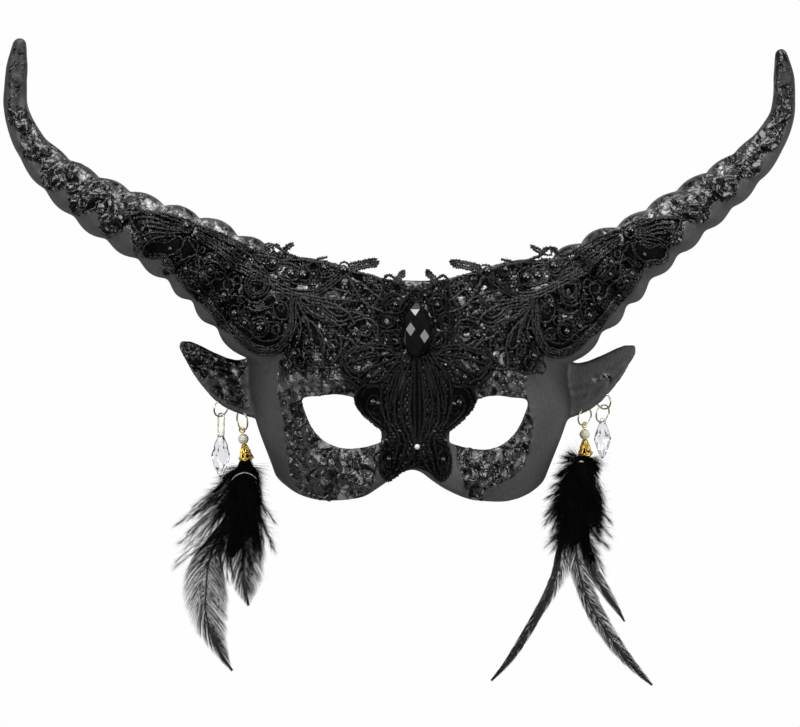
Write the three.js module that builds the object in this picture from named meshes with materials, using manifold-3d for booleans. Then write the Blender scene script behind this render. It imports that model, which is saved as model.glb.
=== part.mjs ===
// A black devil half mask, lying face up on a flat surface. Millimetres, with x towards the right of the
// front view, y towards the horn tips and z out of the face. A moulded shell carries two swept horns and two
// pointed ears. Corded lace is glued over brow and horns, with a faceted stone, and feather and crystal
// earrings hang from jump rings through the ears.
import * as THREE from "three";
import { mergeVertices } from "three/addons/utils/BufferGeometryUtils.js";
import Module from "manifold-3d";

const wasm = await Module();
wasm.setup();

// Driving dimensions.
const WALL = 3; // moulded shell
const TEMPLE_HALF_WIDTH = 73.8; // face form at the ears
const CHEEK_NARROWING = 13.8; // how much each side draws in from ear to jaw
const FACE_DEPTH = 62; // brow above the rims that it rests on
const FACE_ROUNDNESS = 2.3; // exponent of the cross-section, 2 being an ellipse
const NOSE_RISE = 11;
const HORN_LEAN = -3.8; // both horn tips stand this far to one side, as made by hand
const HORN_SWAY = 1.1; // the middles of the horns bend by this much more to the same side
const LEFT_DRIFT = 2; // left eye hole and cheek stand this far towards the right
const RIGHT_DRIFT = 2.3; // and the right cheek
const RIDGE_PITCH = 17; // two low ridges wind along each horn
const RIDGE_HEIGHT = 0.1; // share of the horn's half width
const GLUE_LINE = 0.4; // under the lace
const LACE_THICKNESS = 1.3;
const EAR_THICKNESS = 3.2;
const RING_WIRE = 0.42; // radius of the jump rings' wire
const CLEAR = 0.35; // between pieces that touch

// Small mathematical helpers.
const mix = (a, b, t) => a + (b - a) * t;
const clamp01 = (t) => Math.min(1, Math.max(0, t));
const smooth = (a, b, v) => {
  const t = clamp01((v - a) / (b - a));
  return t * t * (3 - 2 * t);
};
const hump = (distance, width) => Math.exp(-((distance / width) ** 2));
const table = (values, t) => {
  const at = clamp01(t) * (values.length - 1);
  const i = Math.min(values.length - 2, Math.floor(at));
  return mix(values[i], values[i + 1], at - i);
};
const vectors = (pairs) => pairs.map(([x, y]) => new THREE.Vector2(x, y));

// A solid from a closed geometry, and a geometry from a solid.
function solidOf(geometry) {
  const bare = new THREE.BufferGeometry().setAttribute("position", geometry.getAttribute("position"));
  if (geometry.index) bare.setIndex(geometry.index);
  const merged = mergeVertices(bare, 1e-4);
  return new wasm.Manifold(
    new wasm.Mesh({
      numProp: 3,
      vertProperties: merged.getAttribute("position").array,
      triVerts: new Uint32Array(merged.index.array),
    }),
  );
}
function geometryOf(solid) {
  const mesh = solid.getMesh();
  const geometry = new THREE.BufferGeometry();
  geometry.setAttribute("position", new THREE.BufferAttribute(new Float32Array(mesh.vertProperties), 3));
  geometry.setIndex(new THREE.BufferAttribute(new Uint32Array(mesh.triVerts), 1));
  return geometry;
}
const union = (solids) => solids.reduce((a, b) => a.add(b));

// The mirror image across the mask's middle plane, with its faces turned back outwards.
function mirrored(solid) {
  const geometry = geometryOf(solid).scale(-1, 1, 1);
  const index = geometry.index.array;
  for (let i = 0; i < index.length; i += 3) [index[i], index[i + 1]] = [index[i + 1], index[i]];
  return solidOf(geometry);
}

// A closed skin through rings of equal length, with a fan of triangles over each end.
function loft(rings) {
  const count = rings[0].length;
  const points = rings.flat();
  const faces = [];
  for (let r = 0; r + 1 < rings.length; r++)
    for (let k = 0; k < count; k++) {
      const a = r * count + k;
      const b = r * count + ((k + 1) % count);
      faces.push(a, b, b + count, a, b + count, a + count);
    }
  const closings = [
    [rings[0], 0, true],
    [rings.at(-1), (rings.length - 1) * count, false],
  ];
  for (const [ring, start, flip] of closings) {
    const middle = ring.reduce((sum, p) => sum.add(p), new THREE.Vector3()).divideScalar(count);
    const apex = points.push(middle) - 1;
    for (let k = 0; k < count; k++) {
      const pair = [start + k, start + ((k + 1) % count)];
      if (flip) pair.reverse();
      faces.push(...pair, apex);
    }
  }
  const geometry = new THREE.BufferGeometry().setFromPoints(points);
  geometry.setIndex(faces);
  const solid = solidOf(geometry);
  return solid.volume() > 0 ? solid : loft([...rings].reverse());
}

// A prism along z over an outline.
function prism(points, low, high) {
  const settings = { depth: high - low, bevelEnabled: false, steps: 1 };
  return solidOf(new THREE.ExtrudeGeometry(new THREE.Shape(points), settings).translate(0, 0, low));
}

// The face form. Half width, depth and relief change from brow to jaw.
const halfWidth = (y) => TEMPLE_HALF_WIDTH - CHEEK_NARROWING * smooth(-14, -66, y);
const depth = (y) => FACE_DEPTH - 0.0042 * (y + 8) ** 2;
function relief(x, y) {
  const side = Math.abs(x);
  const nose = NOSE_RISE * smooth(6, -40, y) * hump(x, 9 + 0.12 * Math.max(0, -y));
  const brow = 3.5 * hump(side - 28, 22) * hump(y + 5, 9);
  const socket = -6 * hump(side - 34, 17) * hump(y + 27, 13);
  const cheek = 3 * hump(side - 36, 16) * hump(y + 50, 9);
  return nose + brow + socket + cheek;
}
function drift(x, y) {
  const share = x < 0 ? LEFT_DRIFT * smooth(12, 26, -x) : RIGHT_DRIFT * smooth(50, 64, x);
  return share * smooth(-4, -22, y);
}
function facePoint(angle, y) {
  const s = Math.sin(angle);
  const c = Math.max(0, Math.cos(angle));
  const power = 2 / FACE_ROUNDNESS;
  const x = halfWidth(y) * Math.sign(s) * Math.abs(s) ** power;
  const z = depth(y) * c ** power + relief(x, y) * smooth(0, 0.5, c);
  return new THREE.Vector3(x + drift(x, y), y, z);
}
function facePointOffset(angle, y, offset) {
  const step = 0.02;
  const a = Math.min(Math.PI / 2 - step, Math.max(step - Math.PI / 2, angle));
  const across = facePoint(a + step, y).sub(facePoint(a - step, y));
  const along = facePoint(a, y + 1).sub(facePoint(a, y - 1));
  return facePoint(angle, y).addScaledVector(across.cross(along).normalize(), offset);
}
const FACE_BELOW = -70;
const FACE_ABOVE = 62;
const SKIRT = -6; // the form runs on below the surface that the mask rests on
function faceForm(offset, rows, columns) {
  const rings = [];
  for (let i = 0; i <= rows; i++) {
    const y = mix(FACE_BELOW, FACE_ABOVE, i / rows);
    const ring = [];
    for (let k = 0; k <= columns; k++) {
      const v = 1 - (2 * k) / columns;
      ring.push(facePointOffset((Math.PI / 2) * (0.7 * v + 0.3 * v ** 3), y, offset));
    }
    ring.push(new THREE.Vector3(ring.at(-1).x, y, SKIRT), new THREE.Vector3(ring[0].x, y, SKIRT));
    rings.push(ring);
  }
  return loft(rings);
}

// The edge of the shell seen from the front: brow, past the sides, round the cheeks and up to the nose.
const HALF_OUTLINE = [
  [0, 38.3], [12, 39], [22, 41.5], [36, 46], [52, 49], [68, 46], [88, 30], [93, 0], [88, -24], [76, -40],
  [66.5, -47], [60, -54.4], [53, -59.4], [44, -61.8], [34, -61.6], [25, -60], [16, -55.6], [9, -51.2],
  [3.6, -47.6], [0, -46.6],
];
const NOTCH_SHIFT = 1.2; // the notch under the nose is off the middle
const NOTCH_DROP = 1; // and its right side runs lower
function faceOutline() {
  const half = new THREE.SplineCurve(vectors(HALF_OUTLINE)).getPoints(28);
  const whole = [...half, ...half.slice(1, -1).reverse().map((p) => new THREE.Vector2(-p.x, p.y))];
  return whole.map(({ x, y }) => {
    const nearNotch = smooth(-36, -44, y);
    const aside = NOTCH_SHIFT * nearNotch * (1 - smooth(6, 24, Math.abs(x)));
    return new THREE.Vector2(x + drift(x, y) - aside, y - NOTCH_DROP * nearNotch * hump(x - 14, 12));
  });
}

// One eye hole, with its low corner at the nose and its high corner at the temple.
const EYE = [
  [15.4, -34.8], [24, -37.1], [33.5, -37.9], [40.5, -35.8], [46.3, -31], [50.4, -23.5], [51.9, -15.6],
  [44.5, -14.2], [36.5, -13.4], [28.5, -15], [21, -20.5], [16, -28.5], [15.4, -34.8],
];
function eyeHole(side) {
  const outline = new THREE.SplineCurve(vectors(EYE)).getPoints(18).slice(0, -1);
  return prism(outline.map(({ x, y }) => new THREE.Vector2(side * x + drift(side * x, y), y)), -20, 120);
}

// The horns, from roots inside the brow out, back and up to the tips: middle line and half sizes.
const HORN_PATH = [
  [30, 13, 24], [50, 21, 25], [66.3, 28.8, 23.4], [79.3, 36.9, 21], [94.3, 47.1, 19], [105.9, 54.9, 17],
  [120.7, 63.5, 15], [136.4, 72.9, 12.6], [150.8, 82.9, 10.2], [162.8, 93.2, 8.7], [171.1, 103.7, 8.2],
  [176.9, 116.7, 9.2], [177.9, 125.9, 10.4], [177.5, 136, 11.8], [176.2, 146.4, 13.4],
];
const HORN_HALF_WIDTHS = [25, 27, 25.9, 21.8, 19, 16.7, 14.5, 12.9, 10.8, 8.8, 7.1, 5.7, 5.4, 5, 3.3];
const HORN_HALF_DEPTHS = [22, 22.5, 22, 19.8, 18, 16, 14, 12.4, 10.5, 8.5, 6.8, 5.5, 5.3, 4.9, 3.2];
// As made by hand, the two horns differ: how far each middle line lies to the outer side, and the wider right one.
const LEFT_HORN_BEND = [0, 0.8, 1.5, 1, 0.4, 0.3, 0.3, 0.9, 1.1, 1.3, 1.4, 0.9, 0.2, 0, 0.1];
const RIGHT_HORN_BEND = [0, 1, 2, 1.3, 0.8, 1.9, 1.1, 0, -0.2, -0.5, -0.2, 0.3, 0.2, 0.1, -0.3];
const RIGHT_HORN_EXTRA = [0, 0, -0.6, -0.7, -0.2, -1.5, -0.7, -0.6, 0.1, 0.5, 0.7, 0.3, -0.1, 0, -0.3];
const HORN_SIDES = 8;
const STEPS_PER_RIDGE = 4;
function horn(side, offset) {
  const points = HORN_PATH.map(([x, y, z], i) => {
    const sway = HORN_SWAY * hump(i - 7.5, 2.6);
    const lift = side * (sway - 1.2 * hump(i - 3.6, 1.4));
    return new THREE.Vector3(side * x + HORN_LEAN * smooth(1, 9, i) - 0.7 * sway, y + lift, z);
  });
  const bend = side < 0 ? LEFT_HORN_BEND : RIGHT_HORN_BEND;
  const directions = points.map((p, i) => (points[i + 1] ?? p).clone().sub(points[i - 1] ?? p).setZ(0).normalize());
  points.forEach((p, i) => p.add(new THREE.Vector3(directions[i].y, -directions[i].x, 0).multiplyScalar(side * bend[i])));
  const curve = new THREE.CatmullRomCurve3(points, false, "centripetal");
  curve.arcLengthDivisions = 400;
  const length = curve.getLength();
  const ridgeStart = 42.5;
  const ridgeEnd = length - 42;
  const along = [0, 14, 28];
  for (let s = ridgeStart; s < ridgeEnd; s += RIDGE_PITCH / STEPS_PER_RIDGE) along.push(s);
  along.push(ridgeEnd + 8, ridgeEnd + 20, ridgeEnd + 32, length);
  const rings = [];
  for (const s of along) {
    const t = curve.getUtoTmapping(s / length);
    const centre = curve.getPoint(t);
    const forward = curve.getTangent(t);
    const outward = new THREE.Vector3(forward.y, -forward.x, 0).normalize();
    const up = new THREE.Vector3().crossVectors(outward, forward).normalize();
    const strength = RIDGE_HEIGHT * smooth(30, 62, s) * smooth(length - 32, length - 70, s);
    const ring = [];
    for (let k = 0; k < HORN_SIDES; k++) {
      const turn = (-side * k) / HORN_SIDES;
      const wound = s / RIDGE_PITCH + 2 * side * turn;
      const swell = 1 + strength * (1.9 * Math.abs(Math.sin(Math.PI * wound)) - 1.2);
      const extra = side < 0 ? 0 : table(RIGHT_HORN_EXTRA, t);
      const wide = (table(HORN_HALF_WIDTHS, t) + extra) * swell + offset;
      const deep = table(HORN_HALF_DEPTHS, t) * swell + offset;
      const angle = 2 * Math.PI * turn;
      const point = centre.clone().addScaledVector(outward, wide * Math.cos(angle));
      ring.push(point.addScaledVector(up, deep * Math.sin(angle)));
    }
    rings.push(ring);
  }
  const beyond = curve.getTangent(1).multiplyScalar(2.1 + offset);
  rings.push(rings.at(-1).map((p) => p.clone().lerp(points.at(-1), 0.55).add(beyond)));
  return loft(rings);
}

// The right ear: a leaf with a raised rim, a dished front and a fold along its middle.
const EAR_UPPER = [[68, 5], [79.5, 2.2], [90.2, 5.8], [99, 9.9], [105.8, 11.1]];
const EAR_LOWER = [[68, -26], [76, -24], [86.5, -19.2], [97, -8.2], [106.2, 6.9]];
const EAR_HEIGHT = [10.5, 9.2, 9.2, 10.6, 12.6];
function ear() {
  const upper = new THREE.SplineCurve(vectors(EAR_UPPER));
  const lower = new THREE.SplineCurve(vectors(EAR_LOWER));
  const stations = 7;
  const across = 7;
  const rings = [];
  for (let i = 0; i <= stations; i++) {
    const t = i / stations;
    const a = upper.getPoint(t);
    const b = lower.getPoint(t);
    const open = 1 - smooth(0.7, 1, t);
    const thick = EAR_THICKNESS * mix(0.7, 1, open);
    const ring = [];
    for (let k = 0; k <= across; k++) {
      const v = k / across;
      const dish = -3 * Math.sin(Math.PI * smooth(0.06, 0.94, v)) ** 1.2;
      const fold = 1.9 * hump(v - 0.4, 0.12);
      const z = table(EAR_HEIGHT, t) + thick / 2 + (dish + fold) * open * 0.8;
      ring.push(new THREE.Vector3(mix(a.x, b.x, v), mix(a.y, b.y, v), z));
    }
    for (const v of [0.96, 0.5, 0.04]) {
      const z = table(EAR_HEIGHT, t) - thick / 2 - 2.4 * Math.sin(Math.PI * v) * open;
      ring.push(new THREE.Vector3(mix(a.x, b.x, v), mix(a.y, b.y, v), z));
    }
    rings.push(ring);
  }
  return loft(rings);
}

// Wire rings: middle, radius to the middle of the wire, turn about y, tilt about x, and how far the two
// halves are drawn apart where the ring is a long link. The upper part of the first four goes through an ear.
const EAR_RINGS = {
  left_outer_ring: { at: [-86.2, -20.4, 7.8], radius: 4.1, turn: 0.65, tilt: 0.35 },
  left_inner_ring: { at: [-76.4, -26.2, 8.1], radius: 4.5, turn: -1.03, tilt: 0.35 },
  right_outer_ring: { at: [91.2, -15.7, 8.5], radius: 3.9, turn: -0.65, tilt: 0.35 },
  right_inner_ring: { at: [82.6, -23.2, 7.8], radius: 4.1, turn: 0.65, tilt: 0.35 },
};
const LOOSE_RINGS = {
  left_crystal_link: { at: [-86.1, -28.45, 5.6], radius: 1.55, turn: -0.6, tilt: 0.15, reach: 4 },
  right_lower_ring: { at: [91.2, -21.65, 5.7], radius: 4.1, turn: 0.65, tilt: 0.35 },
};
const RING_STEPS = 10;
function wireRing({ at, radius, turn, tilt, reach = 0 }, wire) {
  const geometry = new THREE.TorusGeometry(radius, wire, 4, RING_STEPS).rotateZ(Math.PI / RING_STEPS);
  const position = geometry.getAttribute("position");
  for (let i = 0; i < position.count; i++) position.setY(i, position.getY(i) + Math.sign(position.getY(i)) * reach);
  return solidOf(geometry.rotateY(turn).rotateX(tilt).translate(...at));
}

// The moulded body: shell, horns and ears in one, hollow behind the face and flat where it lies.
const FACE_ROWS = 15;
const FACE_COLUMNS = 19; // odd, so that the nose bridge is a flat band
function maskBody() {
  const face = faceForm(0, FACE_ROWS, FACE_COLUMNS).intersect(prism(faceOutline(), -20, 120));
  const rightEar = ear();
  let body = union([face, horn(1, 0), horn(-1, 0), rightEar, mirrored(rightEar)]);
  body = body.subtract(faceForm(-WALL, 11, 15));
  body = body.subtract(eyeHole(1)).subtract(eyeHole(-1));
  for (const facts of Object.values(EAR_RINGS)) body = body.subtract(wireRing(facts, RING_WIRE + CLEAR));
  return body.subtract(solidOf(new THREE.BoxGeometry(500, 500, 40).translate(0, 0, -20)));
}

// Lace patterns seen from the front, outline first and then the openings.
const BUTTERFLY_HALF = [
  [0, 34], [5.5, 34.4], [12, 40.2], [14.8, 38], [14.8, 33], [18.5, 24], [18, 14.5], [15.7, 9.9], [27.7, 5.7],
  [32.4, 1], [33.3, -4], [27, -11], [28.2, -15], [27.3, -19.8], [17.6, -29.5], [13, -32.7], [15.7, -43],
  [14.8, -48.5], [11.8, -51.4], [5.6, -47], [0, -45.2],
];
const BUTTERFLY_OPENINGS = [
  [[7.4, 24.6], [9.4, 28.8], [12, 25.6]],
  [[10.6, 19], [12.6, 22.4], [15.2, 19], [13, 15.8]],
  [[16.7, 4.3], [23, 3.8], [28.6, -0.4], [28.2, -4], [18.4, 0.6]],
  [[15.4, 0.6], [20.4, -3.2], [24, -7.4], [16.2, -2.6]],
  [[14, -12.4], [20.4, -10.6], [24.6, -14.2], [23, -19.4], [17.6, -23.4]],
  [[4.4, -0.4], [6.6, -0.4], [12, -20.6], [5.2, -6.8]],
  [[1.6, -3], [5, -20.6], [5.8, -30], [3.8, -30]],
  [[9.4, -37.4], [11.6, -39.2], [12.6, -44.8], [11.2, -47.4], [8.4, -40]],
];
const SPRAY_OUTLINE = [
  [127.2, 59.2], [120.4, 49.4], [110, 48.8], [102.8, 36.4], [90.2, 23.8], [86.4, 17.8], [79.6, 13.2], [67, 8],
  [60, 6.4], [54.6, -2.2], [49.8, -3], [45, -1.6], [34.6, -1.2], [33.4, 1.6], [28.4, 6.5], [16.8, 10.6],
  [18.8, 14.4], [19.4, 24.2], [15.6, 33.2], [15.6, 38.4], [17.4, 45.8], [29.6, 45], [49.4, 49.8], [58.8, 54.6],
  [64.2, 56], [68, 52.4], [77.4, 53.6], [97.6, 62.8], [112.6, 67.8], [126.2, 67.8],
];
const SPRAY_OPENINGS = [
  [[121.2, 63.4], [111, 63], [105.4, 60.6]],
  [[119, 58.6], [106, 57], [110.6, 54.4]],
  [[97, 59.4], [69.2, 42.2], [68, 40.4], [95.2, 56.6]],
  [[92, 42.6], [88.6, 37.6], [84.8, 40.4], [88, 44.4]],
  [[85, 33.6], [81.8, 28.4], [77.2, 31.4], [80.6, 36.4]],
  [[73.6, 37.4], [67.8, 36], [69.4, 31.4], [74.8, 32.4]],
  [[71.4, 22.8], [64.4, 24.8], [61.4, 20.2], [63, 15], [68.4, 13.2], [72.6, 17]],
  [[62.4, 45.4], [50, 42], [52, 38.6], [60.4, 38.4]],
  [[47.6, 31.4], [38, 34.2], [23, 28.6]],
  [[51, 26.4], [24.4, 22.2], [40, 19.4]],
  [[52.4, 20.4], [31.2, 10.6], [49.6, 10.8]],
];

// Lace is a thin layer that follows the surface below it, cut to its pattern.
function laceCutter(outline, openings, low) {
  const holes = openings.map((opening) => prism(vectors(opening), low - 5, 125));
  return prism(vectors(outline), low, 120).subtract(union(holes));
}
function laceLayer(offset) {
  return union([faceForm(offset, FACE_ROWS, FACE_COLUMNS), horn(1, offset), horn(-1, offset)]);
}
const laceUnder = laceLayer(GLUE_LINE);
const laceOver = laceLayer(GLUE_LINE + LACE_THICKNESS);
const laceSkin = laceOver.subtract(laceUnder);
function butterflyLace() {
  const flip = ([x, y]) => [-x, y];
  const outline = [...BUTTERFLY_HALF, ...BUTTERFLY_HALF.slice(1, -1).reverse().map(flip)];
  const openings = [...BUTTERFLY_OPENINGS, ...BUTTERFLY_OPENINGS.map((opening) => opening.map(flip))];
  return laceSkin.intersect(laceCutter(outline, openings, 24));
}
function sprayLace(side) {
  const placed = ([x, y]) => [side * x + HORN_LEAN * smooth(50, 160, x), y];
  return laceSkin.intersect(laceCutter(SPRAY_OUTLINE.map(placed), SPRAY_OPENINGS.map((o) => o.map(placed)), 17));
}

// The stone: a pointed oval with rows of facets, turned half a step from row to row.
const STONE = { halfWidth: 6.65, halfLength: 12.25, at: [0, 15.8, 62.3], lean: -0.196, points: 10 };
function stone() {
  const levels = [[1, 0, 0], [1, 1.5, 0], [0.76, 3.7, 1], [0.46, 5.1, 0], [0.14, 5.8, 1]];
  const rings = levels.map(([size, z, turned]) => {
    const ring = [];
    for (let k = 0; k < STONE.points; k++) {
      const angle = (2 * Math.PI * (k + turned / 2)) / STONE.points;
      const narrow = Math.abs(Math.sin(angle)) ** 1.15 * Math.sign(Math.sin(angle));
      ring.push(new THREE.Vector3(STONE.halfWidth * size * narrow, STONE.halfLength * size * Math.cos(angle), z));
    }
    return ring;
  });
  const geometry = geometryOf(loft(rings));
  return solidOf(geometry.rotateX(STONE.lean).translate(...STONE.at));
}
const noseBead = () => solidOf(new THREE.SphereGeometry(1.4, 8, 6).translate(0, -36.5, 71.2));

// A cut drop: distance from its top and radius, in eight flats.
const DROP_PROFILE = [[0, 0], [0, 1.2], [1.6, 1.7], [5, 3.2], [9.8, 4.5], [14.6, 3.3], [18.6, 1.5], [20.2, 0]];
function drop(top, size, hanger) {
  const profile = DROP_PROFILE.map(([down, radius]) => new THREE.Vector2(radius * size, -down)).reverse();
  const geometry = new THREE.LatheGeometry(profile, 8).translate(...top);
  return solidOf(geometry).subtract(wireRing(hanger, RING_WIRE + CLEAR));
}

// The hanger of a feather bunch, built downwards from the eye of its pin: pin, pale bead and open gilt cap.
// The spin about that line turns the eye to suit its ring.
const PIN = { eye: 1.3, wire: 0.35, length: 11.4 };
const BEAD_PROFILE = [[0.7, -6.7], [1.6, -6.1], [2.4, -5], [2.4, -3.8], [1.6, -2.7], [0.7, -2.1], [0.7, -6.7]];
const CAP_PROFILE = [
  [0.7, -7.1], [0.7, -7.8], [1.4, -8.3], [2, -10.4], [2.7, -13.4], [3.3, -13.4], [2.6, -10.4], [2, -8], [1.6, -7.1],
  [0.7, -7.1],
];
function eyePin() {
  const eye = solidOf(new THREE.TorusGeometry(PIN.eye, PIN.wire, 4, 8));
  const shank = new THREE.CylinderGeometry(PIN.wire, PIN.wire, PIN.length - PIN.eye, 5);
  return eye.add(solidOf(shank.translate(0, -(PIN.length + PIN.eye) / 2, 0)));
}
const turned = (profile, sides) => solidOf(new THREE.LatheGeometry(vectors(profile), sides));
const HANGERS = {
  left: { eye: [-76.4, -30.5, 6.6], towards: [0.16, -0.97, -0.21], spin: 0.4 },
  right: { eye: [82.6, -27.1, 6.4], towards: [0.07, -0.975, -0.21], spin: -0.8 },
};
function hung(solid, { eye, towards, spin }) {
  const turn = new THREE.Quaternion().setFromUnitVectors(
    new THREE.Vector3(0, -1, 0),
    new THREE.Vector3(...towards).normalize(),
  );
  return solidOf(geometryOf(solid).rotateY(spin).applyQuaternion(turn).translate(...eye));
}

// A bunch of down, tied in the cap: middle, half width and half height at each station.
const LEFT_TUFT = [
  [-74.5, -42.2, 4.1, 1.3, 1.3], [-74.3, -44.4, 3.9, 2, 1.7], [-75, -50, 4.4, 5.2, 2.7], [-76, -58, 4.8, 8, 3.1],
  [-77, -67, 5.1, 10.5, 3.3], [-78.5, -76, 5, 12.5, 3], [-80, -85, 4.7, 11, 2.6], [-79, -93, 4.2, 7, 1.9],
  [-77.5, -99, 3.8, 2.5, 1],
];
const RIGHT_TUFT = [
  [83.4, -38.9, 3.95, 1.3, 1.3], [83.5, -41, 3.7, 2.1, 1.7], [83, -46, 4.6, 5.5, 2.6], [81.8, -52, 5.1, 9, 3],
  [79.6, -61, 5.2, 12.4, 3.2], [80, -70, 5.1, 13, 3], [80.5, -78, 4.8, 9.5, 2.5], [79.5, -85, 4.4, 4, 1.4],
];
function tuft(stations) {
  const rings = stations.map(([x, y, z, wide, high]) => {
    const ring = [];
    for (let k = 0; k < 8; k++) {
      const angle = (Math.PI * k) / 4;
      ring.push(new THREE.Vector3(x + wide * Math.cos(angle), y, z + high * Math.sin(angle)));
    }
    return ring;
  });
  return loft(rings);
}

// A feather lies flat: quill position and how far the vane reaches to either side of it.
const FEATHERS = {
  left_long_plume: [
    [-75.4, -46, 0.4, 0.4], [-81.5, -70, 0.5, 0.5], [-87, -83, 4.5, 1.5], [-90.6, -92, 10, 4.6],
    [-92, -101, 11.4, 8.2], [-91.4, -112, 9, 8.8], [-88.4, -124, 5.8, 6.6], [-84.6, -134, 2.6, 3.6],
    [-79.9, -142.3, 0.5, 0.5],
  ],
  left_short_plume: [
    [-74, -46, 0.4, 0.4], [-75, -72, 0.5, 0.5], [-75.4, -82, 6.4, 7], [-74.8, -92, 7.8, 8.6],
    [-74, -102, 6, 7.2], [-72.6, -112.2, 0.6, 0.6],
  ],
  right_hackle_left: [
    [82.3, -43, 0.4, 0.4], [77.4, -66, 0.5, 0.5], [74.8, -82, 2.4, 2.6], [71.4, -98, 2.8, 2.8],
    [62.9, -114.6, 2.2, 2.4], [50.8, -132.6, 1.6, 1.6], [40.6, -146.5, 0.3, 0.3],
  ],
  right_hackle_long: [
    [83.6, -43, 0.4, 0.4], [81.4, -66, 0.5, 0.5], [80.2, -83, 1.6, 3.4], [82.4, -98, 3.6, 4],
    [91.1, -116, 3.6, 4.6], [101.3, -131.7, 3, 3.4], [110, -142, 1.8, 1.8], [116.2, -148.3, 0.3, 0.3],
  ],
  right_hackle_short: [
    [84.9, -43, 0.4, 0.4], [86.4, -66, 0.5, 0.5], [88.2, -86.8, 2.6, 2.6], [93, -103.5, 2.2, 2.4],
    [102.7, -119, 0.3, 0.3],
  ],
};
const FEATHER_HEIGHT = 0.8;
const QUILL_HALF = 0.4;
function feather(stations) {
  const line = new THREE.SplineCurve(vectors(stations));
  const rings = stations.map(([x, y, left, right], i) => {
    const along = line.getTangent(i / (stations.length - 1));
    const across = new THREE.Vector3(-along.y, along.x, 0);
    const middle = new THREE.Vector3(x, y, FEATHER_HEIGHT);
    return [
      middle.clone().addScaledVector(across, right),
      middle.clone().add(new THREE.Vector3(0, 0, QUILL_HALF)),
      middle.clone().addScaledVector(across, -left),
      middle.clone().sub(new THREE.Vector3(0, 0, QUILL_HALF)),
    ];
  });
  return loft(rings);
}

const mask = new THREE.Group();
const material = (color, roughness, metalness) => new THREE.MeshStandardMaterial({ color, roughness, metalness });
const lacquer = material(0x3a3a3a, 0.45, 0);
const cord = material(0x1c1c1c, 0.8, 0);
const blackGlass = material(0x060606, 0.05, 0);
const clearGlass = material(0xe8ecee, 0.05, 0);
const gilt = material(0xb08a3c, 0.3, 1);
const pale = material(0xd4cfad, 0.35, 0);
const blackDown = material(0x0a0908, 0.9, 0);
const greyVane = material(0x5e5e5e, 0.8, 0);
// The shapes above are drawn from the face's middle plane. The finished mask is centred between its horns.
function add(name, solid, finish) {
  const mesh = new THREE.Mesh(geometryOf(solid).translate(-HORN_LEAN, 0, 0), finish);
  mesh.name = name;
  mask.add(mesh);
}

add("mask_body", maskBody(), lacquer);
add("lace_butterfly", butterflyLace(), cord);
add("lace_spray_left", sprayLace(-1), cord);
add("lace_spray_right", sprayLace(1), cord);
add("brow_stone", stone(), blackGlass);
add("nose_bead", noseBead(), pale);
for (const [name, facts] of Object.entries({ ...EAR_RINGS, ...LOOSE_RINGS })) {
  add(name, wireRing(facts, RING_WIRE), gilt);
}
add("left_crystal_drop", drop([-86.1, -32.4, 4.85], 1, LOOSE_RINGS.left_crystal_link), clearGlass);
add("right_crystal_drop", drop([91.4, -24.5, 4.4], 0.9, LOOSE_RINGS.right_lower_ring), clearGlass);
for (const [side, hanger] of Object.entries(HANGERS)) {
  add(`${side}_eye_pin`, hung(eyePin(), hanger), gilt);
  add(`${side}_pale_bead`, hung(turned(BEAD_PROFILE, 7), hanger), pale);
  add(`${side}_gilt_cap`, hung(turned(CAP_PROFILE, 7), hanger), gilt);
}
add("left_black_tuft", tuft(LEFT_TUFT), blackDown);
add("right_black_tuft", tuft(RIGHT_TUFT), blackDown);
for (const [name, stations] of Object.entries(FEATHERS)) add(name, feather(stations), greyVane);

export default mask;
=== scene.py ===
"""A black devil half mask lying face up: moulded shell with ridged horns and pointed ears, corded lace, a
faceted stone, and feather and crystal earrings. Lengths are millimetres until a mesh is made."""

import math

import bmesh
import bpy
import numpy as np
from mathutils import Matrix, Vector
from mathutils.bvhtree import BVHTree
from mathutils.kdtree import KDTree


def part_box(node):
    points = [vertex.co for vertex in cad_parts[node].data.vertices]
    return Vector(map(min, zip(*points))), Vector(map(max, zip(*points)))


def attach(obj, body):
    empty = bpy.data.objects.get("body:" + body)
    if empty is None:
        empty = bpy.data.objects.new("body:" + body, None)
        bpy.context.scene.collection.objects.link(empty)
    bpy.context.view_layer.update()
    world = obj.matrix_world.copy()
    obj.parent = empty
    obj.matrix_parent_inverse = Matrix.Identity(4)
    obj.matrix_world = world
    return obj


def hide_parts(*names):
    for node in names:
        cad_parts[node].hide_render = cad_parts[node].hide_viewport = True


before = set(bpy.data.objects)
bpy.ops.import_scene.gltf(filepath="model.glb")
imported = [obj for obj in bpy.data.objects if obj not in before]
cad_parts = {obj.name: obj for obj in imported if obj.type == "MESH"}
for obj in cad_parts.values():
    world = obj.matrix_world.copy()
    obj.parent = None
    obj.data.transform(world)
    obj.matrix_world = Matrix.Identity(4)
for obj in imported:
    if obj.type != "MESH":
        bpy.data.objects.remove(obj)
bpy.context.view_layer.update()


# Table, light and camera
# The mask lies face up on a pale table, which the camera and the clear drops see as an even white, as on a
# light table. Large soft boxes stand round it, the strongest beyond the horns. The camera looks down from
# four degrees off the upright.

MM = 0.001
FACE_MIDDLE = sum(corner[0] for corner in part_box("brow_stone")) / 2 / MM  # the face's middle plane

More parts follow.
